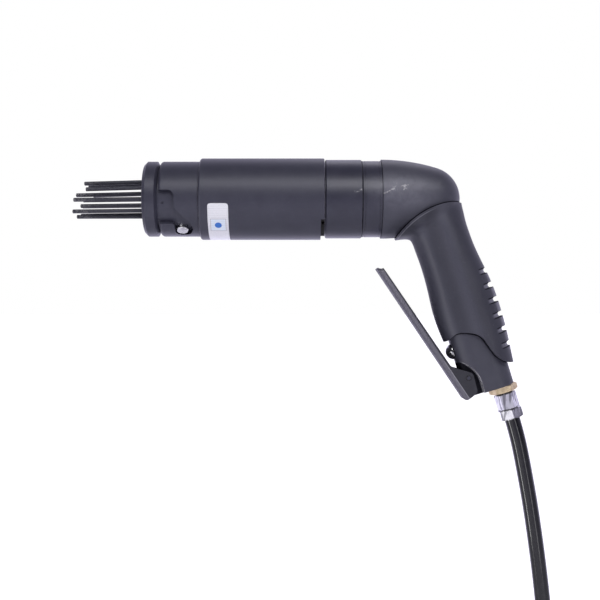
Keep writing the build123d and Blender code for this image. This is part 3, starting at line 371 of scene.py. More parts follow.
class Finish(Graph):
    """A material in the making, with the place on the piece in metres."""

    def __init__(self, name):
        self.material = bpy.data.materials.new(name)
        self.material.use_nodes = True
        super().__init__(self.material.node_tree)
        self.tree.nodes.clear()
        self.place = self.node("ShaderNodeTexCoord", output="Object")
        split = self.node("ShaderNodeSeparateXYZ", values={"Vector": self.place})
        self.x, self.y, self.z = (split.out(axis) for axis in "XYZ")

    def down(self):
        """How far down the tilted handle a place is."""
        tilt = radians(HANDLE_TILT)
        return self.x * sin(tilt) - self.z * cos(tilt)

    def ahead(self):
        """How far ahead of the tilted handle's middle line a place is."""
        tilt = radians(HANDLE_TILT)
        return self.x * -cos(tilt) - self.z * sin(tilt)

    def patch(self, middle, reach):
        """1 at the middle of a soft patch, 0 outside its reach along each axis."""
        offsets = [(along - at) / far for along, at, far in zip((self.x, self.y, self.z), middle, reach)]
        return self.fall(self.span(*offsets), PATCH_CORE, 1.0)

    def noise(self, grain, detail=3.0, stretch=(1, 1, 1), turn=(0, 0, 0)):
        """Soft noise from 0 to 1 with spots of about the given size, drawn out along any axis."""
        turned = [radians(angle) for angle in turn]
        spread = {"Vector": self.place, "Scale": [1 / (grain * part) for part in stretch], "Rotation": turned}
        spots = self.node("ShaderNodeMapping", values=spread)
        return self.node("ShaderNodeTexNoise", values={"Vector": spots, "Scale": 1.0, "Detail": detail})

    def spots(self, grain, start, end, detail=3.0):
        """Spots of about the given size, where soft noise climbs from start to end."""
        return self.fade(self.noise(grain, detail), start, end)

    def lines(self, along, pitch):
        """Fine uneven lines square to a direction, from 0 to 1."""
        values = {"W": along / pitch, "Scale": 1.0, "Detail": 2.0}
        return self.node("ShaderNodeTexNoise", {"noise_dimensions": "1D"}, values)

    def scratches(self, width, length, turn, amount):
        """A few thin scratches in one direction, from 0 to 1."""
        streaks = self.noise(width, detail=1.0, stretch=(1, length / width, length / width), turn=turn)
        return self.fade(streaks, 1.0 - amount, 1.0 + SCRATCH_EDGE - amount)

    def from_path(self, across, along, corners):
        """Distance to a line through corners, in the plane of two measures."""
        distances = []
        for (start_u, start_v), (end_u, end_v) in zip(corners, corners[1:]):
            run_u, run_v = end_u - start_u, end_v - start_v
            from_u, from_v = across - start_u, along - start_v
            share = (from_u * run_u + from_v * run_v) / (run_u * run_u + run_v * run_v)
            share = self.smallest(self.largest(share, 0.0), 1.0)
            distances.append(self.span(from_u - share * run_u, from_v - share * run_v))
        return self.smallest(*distances)

    def strokes(self, paths):
        """Thin wavering marks along paths in the side view, on the near side alone, from 0 to 1."""
        broad, fine = ((self.noise(size) - 0.5) * width for size, width in STROKE_SWAYS)
        sway = broad + fine
        distances = [self.from_path(self.x + sway, self.z - sway, path) for path in paths]
        marks = self.fall(self.smallest(*distances), *STROKE_EDGE)
        return marks * self.spots(0.0011, 0.38, 0.62, detail=4.0) * self.fall(self.y, *STROKE_SIDE)

    def from_seam(self, inset=0.0):
        """How far a place lies outside a line that runs within the seam between head and grip."""
        return self.span(self.x - SEAM_MIDDLE[0], self.z - SEAM_MIDDLE[1]) - (SEAM_RADIUS - inset)

    def head_highlight(self):
        """A patchy painted highlight round the head, from 0 to 1."""
        return self.patch(HEAD_HIGHLIGHT_MIDDLE, HEAD_HIGHLIGHT_REACH) * (0.2 + 1.5 * self.noise(0.005, detail=4.0))

    def done(self, colour, roughness, metallic=0.0, height=None, relief=0.0, grime=None, **fixed):
        """Ends the material, with a height from 0 to 1 that stands up by relief, and a dead black layer mixed
        over it by a share.
        """
        values = {"Base Color": colour, "Roughness": roughness, "Metallic": metallic}
        values.update({name.replace("_", " "): value for name, value in fixed.items()})
        if height is not None:
            bump = {"Height": height, "Distance": relief, "Strength": 1.0}
            values["Normal"] = self.node("ShaderNodeBump", values=bump)
        shader = self.node("ShaderNodeBsdfPrincipled", values=values)
        if grime is not None:
            black = {"Base Color": DEAD_BLACK, "Roughness": 1.0, "Specular IOR Level": 0.0}
            layers = {0: grime, 1: shader, 2: self.node("ShaderNodeBsdfPrincipled", values=black)}
            shader = self.node("ShaderNodeMixShader", values=layers)
        end = self.tree.nodes.new("ShaderNodeOutputMaterial")
        self.tree.links.new(shader.socket, end.inputs["Surface"])
        return self.material


def smooth_line(corners, steps):
    """Points on a smooth line through corners."""
    ends = [Vector(corner) for corner in (corners[0], *corners, corners[-1])]
    points = []
    for before, start, end, after in zip(ends, ends[1:], ends[2:], ends[3:]):
        leave, arrive = start + (end - before) / 6, end - (after - start) / 6
        points += interpolate_bezier(start, leave, arrive, end, steps)[:-1]
    return [*points, ends[-1]]


# Finishes of the black pieces. In all finishes the sizes of spots and the pitch of lines are in metres, and
# weights and levels of noise are shares from 0 to 1.


def blacked_steel(node):
    """Satin blacking on a turned piece of the barrel, rubbed paler at the piece's two ends, with the head's
    painted highlight reaching onto the coupling ring.
    """
    low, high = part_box(node)
    m = Finish("blacked steel of the " + node.replace("_", " "))
    cloud = m.noise(0.011, detail=4.0)
    turning = m.lines(m.x, 0.00022)
    speck = m.spots(0.0009, 0.62, 0.80, detail=2.0)
    ends = m.smallest(abs(m.x - low.x), abs(high.x - m.x))
    rubbed = m.fall(ends, 0.0, WORN_END) * m.spots(0.003, 0.36, 0.62)
    scratch = m.scratches(0.00012, 0.006, turn=(0, 24, 8), amount=0.27) * m.fade(cloud, 0.5, 0.62)
    polished = node in POLISHED_RINGS
    colour = m.blend(cloud, *(POLISHED_BLACKING if polished else BLACKING))
    colour = m.blend(0.25 * speck, colour, SPECK_GREY)
    colour = m.blend(0.45 * rubbed, colour, RUBBED_GREY)
    colour = m.blend(0.30 * scratch, colour, SCRATCH_GREY)
    roughness = 0.36 + 0.10 * cloud + 0.05 * turning - 0.08 * rubbed
    if node == "coupling_ring":
        # painted highlight of the head, reaching onto the coupling ring
        colour = m.blend(0.55 * m.head_highlight(), colour, HEAD_HIGHLIGHT_GREY)
    if node == "casing_ring":
        soot = m.fall(m.x, *EXHAUST_SOOT)
        colour = m.blend(0.6 * m.strokes(RING_STROKES), colour, RING_SCUFF_GREY)
        colour = m.blend(soot, colour, SOOT_BLACK)
        roughness = roughness + 0.4 * soot
    surface = {"metallic": 0.12, "height": turning + 0.6 * cloud, "relief": 0.0000045}
    if polished:
        grime = 0.75 * m.fall(ends, *RING_SEAM)
        return m.done(colour, roughness - 0.05, grime=grime, Specular_IOR_Level=0.52, **surface)
    return m.done(colour, roughness, Specular_IOR_Level=0.42, **surface)


def black_casting():
    """Blasted and blacked casting with fine grain, scuffed on the head, with a painted highlight on the head
    and along its lip, and painted shade in the recess and the throat.
    """
    m = Finish("blacked casting of the head")
    down, ahead = m.down(), m.ahead()
    cloud = m.noise(0.014, detail=4.0)
    grain = m.noise(0.00035, detail=2.0)
    flecks = m.scratches(0.00030, 0.004, turn=(0, 66, 0), amount=0.40)
    flecks = flecks * m.spots(0.0030, 0.40, 0.60, detail=2.0)
    scuff = m.largest(m.strokes(HEAD_STROKES), 0.4 * m.patch(HEAD_SCUFF_MIDDLE, HEAD_SCUFF_REACH) * flecks)
    to_foot = LIP_FOOT_DOWN - m.smallest(down, LIP_FOOT_DOWN)
    beyond_lip = ahead - LIP_FOOT_AHEAD - to_foot * to_foot * LIP_CURVE
    below_top = m.fade(down, *LIP_TOP)
    # painted highlight along the lip, spotted
    lip = m.fall(abs(beyond_lip), *LIP_HIGHLIGHT) * m.spots(0.004, 0.25, 0.50) * below_top
    # painted shade in the recess ahead of the lip
    recess = m.fade(beyond_lip, *LIP_RECESS_SHADE) * below_top
    colour = m.blend(cloud, *CASTING_BLACK)
    colour = m.blend(0.2 * m.fade(grain, 0.55, 0.8), colour, GRAIN_GREY)
    # painted highlight round the head
    colour = m.blend(0.65 * m.head_highlight(), colour, HEAD_HIGHLIGHT_GREY)
    colour = m.blend(0.6 * scuff, colour, HEAD_SCUFF_GREY)
    colour = m.blend(0.7 * lip, colour, LIP_HIGHLIGHT_GREY)
    from_seam = abs(m.from_seam())
    above_foot = m.fade(m.z, *SEAM_FOOT)
    seam = m.fall(from_seam, *SEAM_GRIME) * above_foot
    skirt = m.fall(m.from_path(down, ahead, smooth_line(SKIRT_EDGE, SKIRT_STEPS)), *SEAM_GRIME)
    # painted shade in the throat next to the seam, low on the head
    throat = m.fall(from_seam, 0.0, THROAT_SHADE_REACH) * m.fall(m.z, *THROAT_SHADE_TOP) * above_foot
    surface = {"metallic": 0.10, "height": grain + 0.4 * cloud, "relief": 0.000012}
    # dead black on the seam and skirt lines, and painted shade in the recess and the throat
    grime = 0.9 * m.largest(seam, skirt, recess, 0.45 * throat)
    roughness = 0.40 + 0.10 * cloud - 0.08 * scuff
    return m.done(colour, roughness, grime=grime, Specular_IOR_Level=0.42, **surface)


def black_moulding():
    """Matt moulded plastic of the grip, with two painted highlight bands, painted highlights in the notches
    and on the ribs, painted shade in the notch creases and inside the seam, and a pale painted highlight line
    beside the seam.
    """
    m = Finish("pebbled moulding of the grip")
    down, ahead = m.down(), m.ahead()
    cells = {"Vector": m.place, "Scale": PEBBLES_PER_METRE, "Randomness": PEBBLE_UNEVENNESS}
    pebble = m.node("ShaderNodeTexVoronoi", {"feature": "SMOOTH_F1"}, cells)
    bloom = m.noise(0.018)
    dust = m.spots(0.0012, 0.60, 0.78)
    # painted highlight in two bands down the grip
    front, side = (m.fall(abs(ahead - middle), 0.0, half) for middle, half in GRIP_HIGHLIGHT_BANDS)
    highlight_bands = m.largest(front, side) * m.fall(down, *GRIP_HIGHLIGHT_END)
    steps = (down - NOTCH_FIRST) / NOTCH_PITCH
    from_notch = abs(steps - m.maths("ROUND", steps)) * NOTCH_PITCH
    among = m.fade(down, *NOTCH_START) * m.fall(down, *NOTCH_END)
    in_reach = m.fade(ahead, *NOTCH_REACH) * among
    # painted shade in the notch creases
    painted_crease = m.fall(abs(from_notch - NOTCH_HALF), *NOTCH_CREASE_SHADE) * in_reach
    # painted highlights inside the notches and on the ribs between them
    scoop_highlight = m.fall(from_notch, *NOTCH_SCOOP) * in_reach
    rib_highlight = m.fade(ahead, *RIB_FACE) * among
    inside_seam = -m.from_seam()
    shade = m.fade(inside_seam, 0.0, FLANGE_SHADE[0]) * m.fall(inside_seam, *FLANGE_SHADE)
    # painted highlight line along the flange, inside the seam
    flange_highlight = m.fall(abs(m.from_seam(FLANGE_EDGE)), *FLANGE_HIGHLIGHT_LINE) * m.fall(m.x, *FLANGE_HIGHLIGHT_END)
    colour = m.blend(bloom, *MOULDING_BLACK)
    colour = m.blend(0.8 * m.largest(0.7 * scoop_highlight, rib_highlight), colour, RIB_HIGHLIGHT_GREY)
    colour = m.blend(0.50 * highlight_bands, colour, GRIP_HIGHLIGHT_GREY)
    colour = m.blend(0.22 * dust, colour, DUST_GREY)
    colour = m.blend(0.6 * shade * m.fall(m.x, *FLANGE_SHADE_END), colour, FLANGE_SHADE_BLACK)
    colour = m.blend(0.55 * flange_highlight, colour, FLANGE_HIGHLIGHT_GREY)
    colour = m.blend(0.25 * m.fade(pebble, 0.45, 0.75), colour, PEBBLE_BLACK)
    roughness = 0.45 + 0.12 * bloom - 0.06 * pebble - 0.06 * highlight_bands
    surface = {"height": 1 - pebble, "relief": 0.00003, "grime": 0.8 * painted_crease}
    return m.done(colour, roughness, Specular_IOR_Level=0.45, **surface)


def lever_coat():
    """Satin coating on the pressed lever, duller on its edge, with painted shade on the ears round the pin
    and a painted highlight along the bend.
    """
    m = Finish("satin coating of the lever")
    down, ahead = m.down(), m.ahead()
    lean = radians(LEVER_LEAN)
    behind_tip, below_tip = LEVER_TIP_AHEAD - ahead, down - LEVER_TIP_DOWN
    inward = behind_tip * cos(lean) - below_tip * sin(lean)
    along = below_tip * cos(lean) + behind_tip * sin(lean)
    # painted shade on the ears
    ear_shade = m.fade(inward, *EAR_SHADE_EDGE)
    # painted highlight along the bend between the strip and the ears
    painted_crease = m.fall(abs(inward - EAR_CREASE), *EAR_CREASE_LINE) * m.fade(along, *EAR_START)
    pin_grime = m.fall(m.span(down - PIN_DOWN, ahead - PIN_AHEAD), *PIN_GRIME)
    brushed = m.noise(0.00022, detail=2.0, stretch=(1, 1, 90), turn=LEVER_BRUSHING)
    cloud = m.noise(0.010)
    chips = m.spots(0.0011, 0.68, 0.74, detail=2.0)
    colour = m.blend(cloud, *LEVER_GREY)
    colour = m.blend(0.30 * brushed, colour, BRUSHED_GREY)
    colour = m.blend(0.35 * chips, colour, CHIP_GREY)
    colour = m.blend(ear_shade, colour, m.blend(cloud, *EAR_SHADE_BLACK))
    colour = m.blend(0.6 * painted_crease, colour, EAR_CREASE_HIGHLIGHT_GREY)
    colour = m.blend(pin_grime, colour, PIN_GRIME_BLACK)
    roughness = 0.36 + 0.12 * brushed + 0.06 * cloud + 0.28 * m.fall(inward, *LEVER_EDGE)
    return m.done(colour, roughness, metallic=0.25, height=brushed, relief=0.000005, Specular_IOR_Level=0.5)


def needle_steel():
    """Dark drawn wire with lengthwise streaks, beaten brighter towards the tips."""
    m = Finish("drawn steel of the needles")
    drawn = m.noise(0.00012, detail=2.0, stretch=(160, 1, 1))
    spots = m.noise(0.0020, detail=4.0)
    worn = m.fade(m.x, *NEEDLE_WEAR) * m.fade(spots, 0.38, 0.66)
    colour = m.blend(drawn, *NEEDLE_BLACK)
    colour = m.blend(0.45 * worn, colour, NEEDLE_TIP_GREY)
    colour = m.blend(0.20 * m.fade(spots, 0.60, 0.72), colour, RUST_BROWN)
    roughness = 0.34 + 0.18 * spots - 0.08 * worn
    return m.done(colour, roughness, metallic=0.65, height=drawn, relief=0.000006)


# Finishes of the bright metal


def machined_steel(name, pale, dark, smooth):
    """Turned or ground steel with a film of oil."""
    m = Finish(name)
    turning = m.lines(m.x, 0.00016)
    oil_and_reflection = m.noise(0.006)
    colour = m.blend(m.fade(oil_and_reflection, 0.40, 0.70), pale, dark)
    colour = m.blend(0.25 * turning, colour, [0.7 * part for part in dark])
    roughness = smooth + 0.12 * oil_and_reflection + 0.08 * turning
    return m.done(colour, roughness, metallic=1.0, height=turning, relief=0.000004)


def ground_pin():
    """Bright ground steel of the bayonet pins, smeared a little where they slide."""
    m = Finish("ground steel of the bayonet pins")
    ground = m.lines(m.z + 0.5 * m.y, 0.00010)
    smear = m.noise(0.0022)
    colour = m.blend(m.fade(smear, 0.42, 0.70), *PIN_STEEL)
    roughness = 0.16 + 0.14 * smear + 0.06 * ground
    return m.done(colour, roughness, metallic=1.0, height=ground, relief=0.000003)


def turned_brass(name, bright, tarnish, smooth):
    """Turned brass with tarnish in soft patches."""
    m = Finish(name)
    turning = m.lines(m.z - 0.3 * m.x, 0.00018)
    patch = m.noise(0.0045, detail=4.0)
    pits = m.spots(0.0006, 0.64, 0.78, detail=2.0)
    colour = m.blend(m.fade(patch, 0.36, 0.68), bright, tarnish)
    colour = m.blend(0.4 * pits, colour, [0.45 * part for part in tarnish])
    roughness = smooth + 0.16 * patch + 0.05 * turning
    return m.done(colour, roughness, metallic=0.85, height=turning + 0.5 * patch, relief=0.000006)


def bright_plating():
    """Bright plating over fine turning marks, with painted dark reflections in streaks down it and along its
    edges.
    """
    m = Finish("bright plating of the hose fittings")
    down = m.down()
    turning = m.lines(down, 0.00024)
    smear = m.spots(0.005, 0.42, 0.72, detail=4.0)
    # painted dark reflections in streaks down the fittings
    drawn = m.noise(0.0026, detail=2.0, stretch=(1, 1, 9), turn=(0, HANDLE_TILT, 0))
    reflection_streak = m.fade(drawn, 0.50, 0.60)
    to_edge = m.smallest(*[abs(down - edge) for edge in FITTING_EDGES])
    # painted dark reflection along the fitting edges, spotted
    oil_and_reflection = m.fall(to_edge, *FITTING_EDGE_REFLECTION) * m.spots(0.0020, 0.34, 0.52)
    colour = m.blend(smear, *PLATING)
    colour = m.blend(0.75 * reflection_streak, colour, REFLECTION_STREAK_GREY)
    colour = m.blend(0.90 * oil_and_reflection, colour, EDGE_REFLECTION_BLACK)
    roughness = 0.06 + 0.10 * smear + 0.03 * turning + 0.20 * oil_and_reflection
    return m.done(colour, roughness, metallic=1.0, height=turning, relief=0.0000025)


# Finishes of rubber, felt, gloss plastic and paper


def hose_rubber():
    """Glossy black rubber with a faint drag of the mould along it."""
    m = Finish("glossy rubber of the hose")
    drag = m.noise(0.0006, detail=2.0, stretch=(1, 1, 40))
    dust = m.noise(0.004, detail=4.0)
    colour = m.blend(m.fade(dust, 0.50, 0.80), *HOSE_BLACK)
    roughness = 0.05 + 0.08 * dust + 0.04 * drag
    return m.done(colour, roughness, height=drag + 0.4 * dust, relief=0.000006, Specular_IOR_Level=0.5)


def seal_rubber():
    """Dull black rubber with a dusty bloom."""
    m = Finish("dull rubber of the seals")
    bloom = m.noise(0.003, detail=4.0)
    grain = m.noise(0.0004, detail=2.0)
    colour = m.blend(bloom, *SEAL_BLACK)
    return m.done(colour, 0.52 + 0.20 * bloom, height=grain, relief=0.00002)


def pressed_felt():
    """Grey pressed felt with short loose fibres."""
    m = Finish("pressed felt of the silencer")
    lengthwise = m.noise(0.0005, detail=4.0, stretch=(6, 1, 1), turn=(20, 40, 0))
    crosswise = m.noise(0.0005, detail=4.0, stretch=(1, 6, 1), turn=(0, 30, 50))
    fibres = m.largest(lengthwise, crosswise)
    tone = m.noise(0.006)
    colour = m.blend(tone, *FELT_GREY)
    colour = m.blend(m.fade(fibres, 0.55, 0.75), colour, FIBRE_GREY)
    return m.done(colour, 0.90 + 0.08 * tone, height=fibres, relief=0.00012)


def glossy_button():
    """Gloss black button with a polished crown."""
    m = Finish("gloss black of the button")
    smear = m.noise(0.0024)
    colour = m.blend(smear, *BUTTON_BLACK)
    gloss = {"Coat_Weight": 1.0, "Coat_Roughness": 0.12, "Coat_IOR": 3.5, "Specular_IOR_Level": 0.9}
    return m.done(colour, 0.06 + 0.08 * smear, height=smear, relief=0.000003, **gloss)


def label_paper(axis_height, middle, radius):
    """White paper with a thin grey frame round a plain blue disc."""
    m = Finish("white paper of the label")
    below = m.maths("ARCTAN2", axis_height - m.z, -m.y)
    along = abs(m.x - middle)
    around = abs((below - radians(LABEL_MARK_ANGLE)) * radius)
    side = m.largest(along, around)
    disc = m.fall(m.span(along, around), *LABEL_MARK_EDGE)
    tint = m.fall(side, *LABEL_TINT_EDGE)
    frame_line = m.fall(abs(side - LABEL_FRAME_HALF), *LABEL_FRAME_LINE)
    fibre = m.noise(0.0007)
    colour = m.blend(fibre, *PAPER_WHITE)
    colour = m.blend(0.45 * tint, colour, LABEL_TINT)
    colour = m.blend(0.75 * frame_line, colour, LABEL_FRAME_GREY)
    colour = m.blend(disc, colour, LABEL_MARK_BLUE)
    return m.done(colour, 0.36 + 0.14 * fibre, height=fibre, relief=0.000006)


# Pieces that are made here


def hose_route():
    """The corners of the hose's route, from the nut to the plug."""
    tilt = radians(HANDLE_TILT)
    down = Vector((sin(tilt), 0, -cos(tilt)))
    behind = Vector((cos(tilt), 0, sin(tilt)))
    corners = [down * HOSE_START_DOWN + behind * HOSE_START_BEHIND]
    for run, lean in zip(HOSE_RUNS, HOSE_LEANS):
        corners.append(corners[-1] + Vector((sin(radians(lean)), 0, -cos(radians(lean)))) * run)
    return corners


def make_hose(material):
    """The air hose as one smooth line that hangs from the nut."""
    line = bpy.data.curves.new("hanging_hose", "CURVE")
    line.dimensions = "3D"
    line.bevel_depth = HOSE_RADIUS
    line.bevel_resolution = HOSE_SIDES
    line.use_fill_caps = True
    corners = hose_route()
    spline = line.splines.new("NURBS")
    spline.points.add(len(corners) - 1)
    for point, corner in zip(spline.points, corners):
        point.co = (*corner, 1.0)
    spline.order_u = HOSE_ORDER
    spline.use_endpoint_u = True
    spline.resolution_u = HOSE_STEPS
    line.materials.append(material)
    hose = bpy.data.objects.new("hanging_hose", line)
    bpy.context.collection.objects.link(hose)
    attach(hose, "handle")
    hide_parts("air_hose")


def new_tree(name, *sizes):
    """A tree of geometry nodes with named sizes, and the wires of those sizes."""
    tree = bpy.data.node_groups.new(name, "GeometryNodeTree")
    tree.interface.new_socket("Geometry", in_out="OUTPUT", socket_type="NodeSocketGeometry")
    for size in sizes:
        tree.interface.new_socket(size, in_out="INPUT", socket_type="NodeSocketFloat")
    g = Graph(tree)
    inputs = g.node("NodeGroupInput")
    return g, [inputs.out(size) for size in sizes]


def end_tree(g, shape, material):
    """Ends a tree with its shape, made real and painted."""
    real = g.node("GeometryNodeRealizeInstances", values={"Geometry": shape})
    painted = g.node("GeometryNodeSetMaterial", values={"Geometry": real, "Material": material})
    end = g.tree.nodes.new("NodeGroupOutput")
    g.tree.links.new(painted.socket, end.inputs[0])
    return g.tree


def plain_mesh(name, tree, sizes):
    """The mesh that a tree makes at the given sizes."""
    maker = bpy.data.objects.new(name + "_maker", bpy.data.meshes.new(name + "_maker"))
    bpy.context.collection.objects.link(maker)
    step = maker.modifiers.new("make", "NODES")
    step.node_group = tree
    for socket in tree.interface.items_tree:
        if socket.in_out == "INPUT":
            step[socket.identifier] = sizes[socket.name]
    seen = maker.evaluated_get(bpy.context.evaluated_depsgraph_get())
    mesh = bpy.data.meshes.new_from_object(seen)
    maker.modifiers.remove(step)
    bpy.data.objects.remove(maker)
    mesh.name = name
    mesh.shade_smooth()
    return mesh


def label_tree(material, axis_height, middle, radius):
    """A tree that wraps a sheet with rounded corners round the main sleeve."""
    sizes = ("Width", "Length", "Corner", "Thickness")
    g, (width, length, corner, thickness) = new_tree("wrap a label round the sleeve", *sizes)
    counts = {"Size X": 1.0, "Size Y": 1.0, "Vertices X": LABEL_COLUMNS, "Vertices Y": LABEL_ROWS}
    sheet = g.node("GeometryNodeMeshGrid", values=counts)
    split = g.node("ShaderNodeSeparateXYZ", values={"Vector": g.node("GeometryNodeInputPosition")})
    arc = (split.out("Y") + 0.5) * length
    to_end = g.smallest(arc, length - arc)
    short = corner - g.smallest(to_end, corner)
    half = width / 2 - corner + (corner * corner - short * short) ** 0.5
    angle = arc / radius + radians(LABEL_TOP)
    place = {
        "X": split.out("X") * half * 2 + middle,
        "Y": g.maths("COSINE", angle) * -radius,
        "Z": axis_height - g.maths("SINE", angle) * radius,
    }
    wrapped = {"Geometry": sheet, "Position": g.node("ShaderNodeCombineXYZ", values=place)}
    inner = g.node("GeometryNodeSetPosition", values=wrapped)
    lift = {"Mesh": inner, "Offset Scale": thickness, "Individual": False}
    outer = g.node("GeometryNodeExtrudeMesh", values=lift)
    under = g.node("GeometryNodeFlipFaces", values={"Mesh": inner})
    both = g.node("GeometryNodeJoinGeometry")
    for part in (outer, under):
        g.tree.links.new(part.socket, both.socket.node.inputs[0])
    welded = g.node("GeometryNodeMergeByDistance", values={"Geometry": both, "Distance": LABEL_WELD})
    return end_tree(g, welded, material)


def make_label():
    """The paper label on the main sleeve, made a plain mesh."""
    low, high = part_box("main_sleeve")
    axis_height = (low.z + high.z) / 2
    radius = (high.z - low.z) / 2
    middle = low.x + LABEL_INSET + LABEL_WIDTH / 2
    material = label_paper(axis_height, middle, radius)
    tree = label_tree(material, axis_height, middle, radius)
    sizes = {"Width": LABEL_WIDTH, "Length": LABEL_LENGTH}
    sizes.update({"Corner": LABEL_CORNER, "Thickness": LABEL_THICKNESS})
    label = bpy.data.objects.new("paper_label", plain_mesh("paper_label", tree, sizes))
    bpy.context.collection.objects.link(label)
    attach(label, "handle")


def spring_tree(material):
    """A tree that winds a round wire into a spring, up from the origin."""
    g, (turns, radius, rise, wire) = new_tree("wind a spring", "Turns", "Radius", "Rise", "Wire")
    winding = {"Resolution": SPRING_STEPS, "Rotations": turns, "Height": rise}
    winding.update({"Start Radius": radius, "End Radius": radius})
    line = g.node("GeometryNodeCurveSpiral", values=winding)
    section = g.node("GeometryNodeCurvePrimitiveCircle", values={"Resolution": SPRING_SIDES, "Radius": wire})
    tube = {"Curve": line, "Profile Curve": section, "Fill Caps": True}
    return end_tree(g, g.node("GeometryNodeCurveToMesh", values=tube), material)


def make_spring(node, tree, joint, turns, wire):
    """A spring in the place of the frame's stiff one, along its joint's axis."""
    row = next(row for row in frame["record"]["behaviour"]["joints"] if row["name"] == joint)
    axis = Vector(row["axis"])
    low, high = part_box(node)
    middle = (low + high) / 2
    stations = [axis.dot(vertex.co) for vertex in frame["nodes"][node].data.vertices]
    start, end = min(stations), max(stations)
    sizes = {"Turns": turns, "Radius": (high.y - low.y) / 2 - wire}
    sizes.update({"Rise": end - start - 2 * wire, "Wire": wire})
    mesh = plain_mesh(node + "_coil", tree, sizes)
    foot = middle + axis * (start + wire - axis.dot(middle))
    mesh.transform(Matrix.Translation(foot) @ axis.to_track_quat("Z", "Y").to_matrix().to_4x4())
    spring = bpy.data.objects.new(node + "_coil", mesh)
    bpy.context.collection.objects.link(spring)
    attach(spring, "handle")
    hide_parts(node)
    travel = row["range_m"][1]
    1 - travel / (end - start)
    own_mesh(spring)


# Stage


def make_camera():
    """A level camera that looks along Y."""
    data = bpy.data.cameras.new("photo_camera")
    data.lens = CAMERA_LENS
    data.sensor_width = CAMERA_SENSOR
    camera = bpy.data.objects.new("photo_camera", data)
    camera.location = CAMERA_PLACE
    camera.rotation_euler = (pi / 2, 0, 0)
    bpy.context.collection.objects.link(camera)
    bpy.context.scene.camera = camera


def make_floor():
    """A white floor below the plug, clear from beneath. It glows further out, but less in reflections."""
    m = Finish("white studio floor")
    tone = m.noise(0.8, detail=2.0)
    colour = m.blend(tone, *FLOOR_WHITE)
    outward = m.span(m.x, m.y)
    behind = FLOOR_FRONT_SHARE + (1 - FLOOR_FRONT_SHARE) * m.fade(m.y, 0.0, FLOOR_GLOW_REACH[1])
    sideways = m.x / outward
    left, right = m.fade(-sideways, *FLOOR_SIDE), m.fade(sideways, *FLOOR_SIDE)
    mirrored = behind * (1 - FLOOR_LEFT_CUT * left - FLOOR_RIGHT_CUT * right)
    seen = m.node("ShaderNodeLightPath", output="Is Camera Ray")
    far = m.blend(seen, FLOOR_GLOW_MIRRORED, FLOOR_GLOW_FAR)
    glow = m.blend(m.fade(outward, *FLOOR_GLOW_REACH) * m.largest(seen, mirrored), FLOOR_GLOW_NEAR, far)
    above = 1 - m.node("ShaderNodeNewGeometry", output="Backfacing")
    material = m.done(colour, roughness=0.9, Emission_Color=glow, Emission_Strength=1.0, Alpha=above)
    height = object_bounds()[0].z - FLOOR_DROP
    mesh = bpy.data.meshes.new("studio_floor")
    corners = [(-1, -1), (1, -1), (1, 1), (-1, 1)]
    mesh.from_pydata([(x * FLOOR_REACH, y * FLOOR_REACH, height) for x, y in corners], [], [(0, 1, 2, 3)])
    mesh.materials.append(material)
    floor = bpy.data.objects.new("studio_floor", mesh)
    bpy.context.collection.objects.link(floor)


def make_world():
    """White where the camera looks, and a bright back with a dark front for the reflections."""
    world = bpy.data.worlds.new("studio_surroundings")
    bpy.context.scene.world = world
    world.use_nodes = True
    world.node_tree.nodes.clear()
    g = Graph(world.node_tree)
    direction = g.node("ShaderNodeTexCoord", output="Generated")
    split = g.node("ShaderNodeSeparateXYZ", values={"Vector": direction})
    back = g.fade(split.out("Y"), *WORLD_BACK_FADE)
    right = g.fade(split.out("X"), *WORLD_RIGHT_FADE)
    glow = WORLD_FRONT + (WORLD_BACK - WORLD_FRONT) * back + WORLD_RIGHT * right
    seen = g.node("ShaderNodeLightPath", output="Is Camera Ray")
    strength = seen + (1 - seen) * glow
    colour = g.blend(seen, WORLD_TINT, WORLD_WHITE)
    light = g.node("ShaderNodeBackground", values={"Color": colour, "Strength": strength})
    end = world.node_tree.nodes.new("ShaderNodeOutputWorld")
    world.node_tree.links.new(light.socket, end.inputs["Surface"])


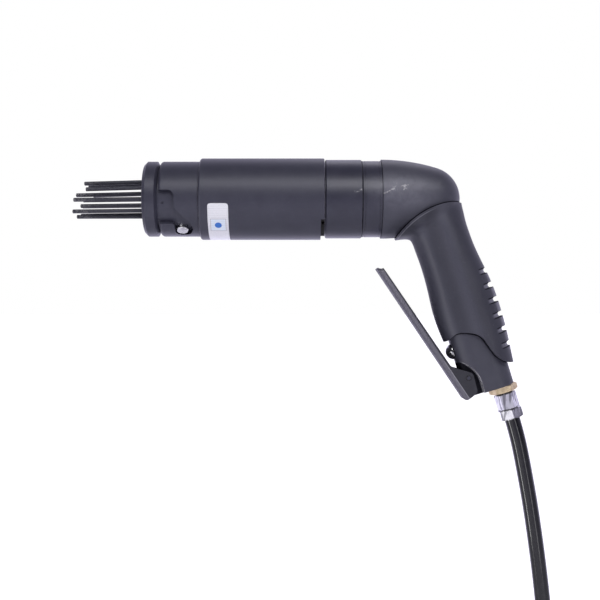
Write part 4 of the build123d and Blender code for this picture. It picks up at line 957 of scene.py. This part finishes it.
def make_softbox(name, place, target, width, height, power):
    """A flat light that faces its target."""
    data = bpy.data.lights.new(name, "AREA")
    data.shape = "RECTANGLE"
    data.size = width
    data.size_y = height
    data.energy = power
    light = bpy.data.objects.new(name, data)
    light.location = place
    light.rotation_euler = (Vector(target) - Vector(place)).to_track_quat("-Z", "Y").to_euler()
    bpy.context.collection.objects.link(light)


# Making


bpy.context.scene.view_settings.view_transform = "Standard"
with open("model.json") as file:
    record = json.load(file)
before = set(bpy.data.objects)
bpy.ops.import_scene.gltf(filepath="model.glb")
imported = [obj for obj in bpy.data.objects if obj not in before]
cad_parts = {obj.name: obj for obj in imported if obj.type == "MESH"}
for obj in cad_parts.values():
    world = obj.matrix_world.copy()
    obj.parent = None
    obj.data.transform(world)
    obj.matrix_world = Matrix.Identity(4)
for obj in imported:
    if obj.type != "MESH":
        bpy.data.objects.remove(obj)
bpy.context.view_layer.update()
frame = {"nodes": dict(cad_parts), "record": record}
make_camera()
make_hose(hose_rubber())
make_label()
coils = spring_tree(machined_steel("spring steel of the coils", *SPRING_STEEL, smooth=0.30))
for spring_node, winding in SPRINGS.items():
    make_spring(spring_node, coils, *winding)

slot_finishes = {
    "black_casting": black_casting(),
    "black_moulding": black_moulding(),
    "lever_coat": lever_coat(),
    "needle_steel": needle_steel(),
    "pin_steel": ground_pin(),
    "inner_steel": machined_steel("machined steel of the striking parts", *STRIKING_STEEL, smooth=0.24),
    "bearing_brass": turned_brass("turned brass of the bushes", *BUSH_BRASS, smooth=0.26),
    "tan_brass": turned_brass("dull brass of the inlet hexagon", *INLET_BRASS, smooth=0.40),
    "bright_chrome": bright_plating(),
    "seal_rubber": seal_rubber(),
    "felt": pressed_felt(),
    "button_black": glossy_button(),
}
for part in frame["record"]["subparts"]:
    node, slot = part["node"], part["material_slot"]
    if slot in MADE_SLOTS:
        continue
    piece = frame["nodes"][node]
    piece.data.materials.clear()
    piece.data.materials.append(blacked_steel(node) if slot == "black_steel" else slot_finishes[slot])

make_floor()
make_world()
for softbox_name, softbox in SOFTBOXES.items():
    make_softbox(softbox_name, *softbox)
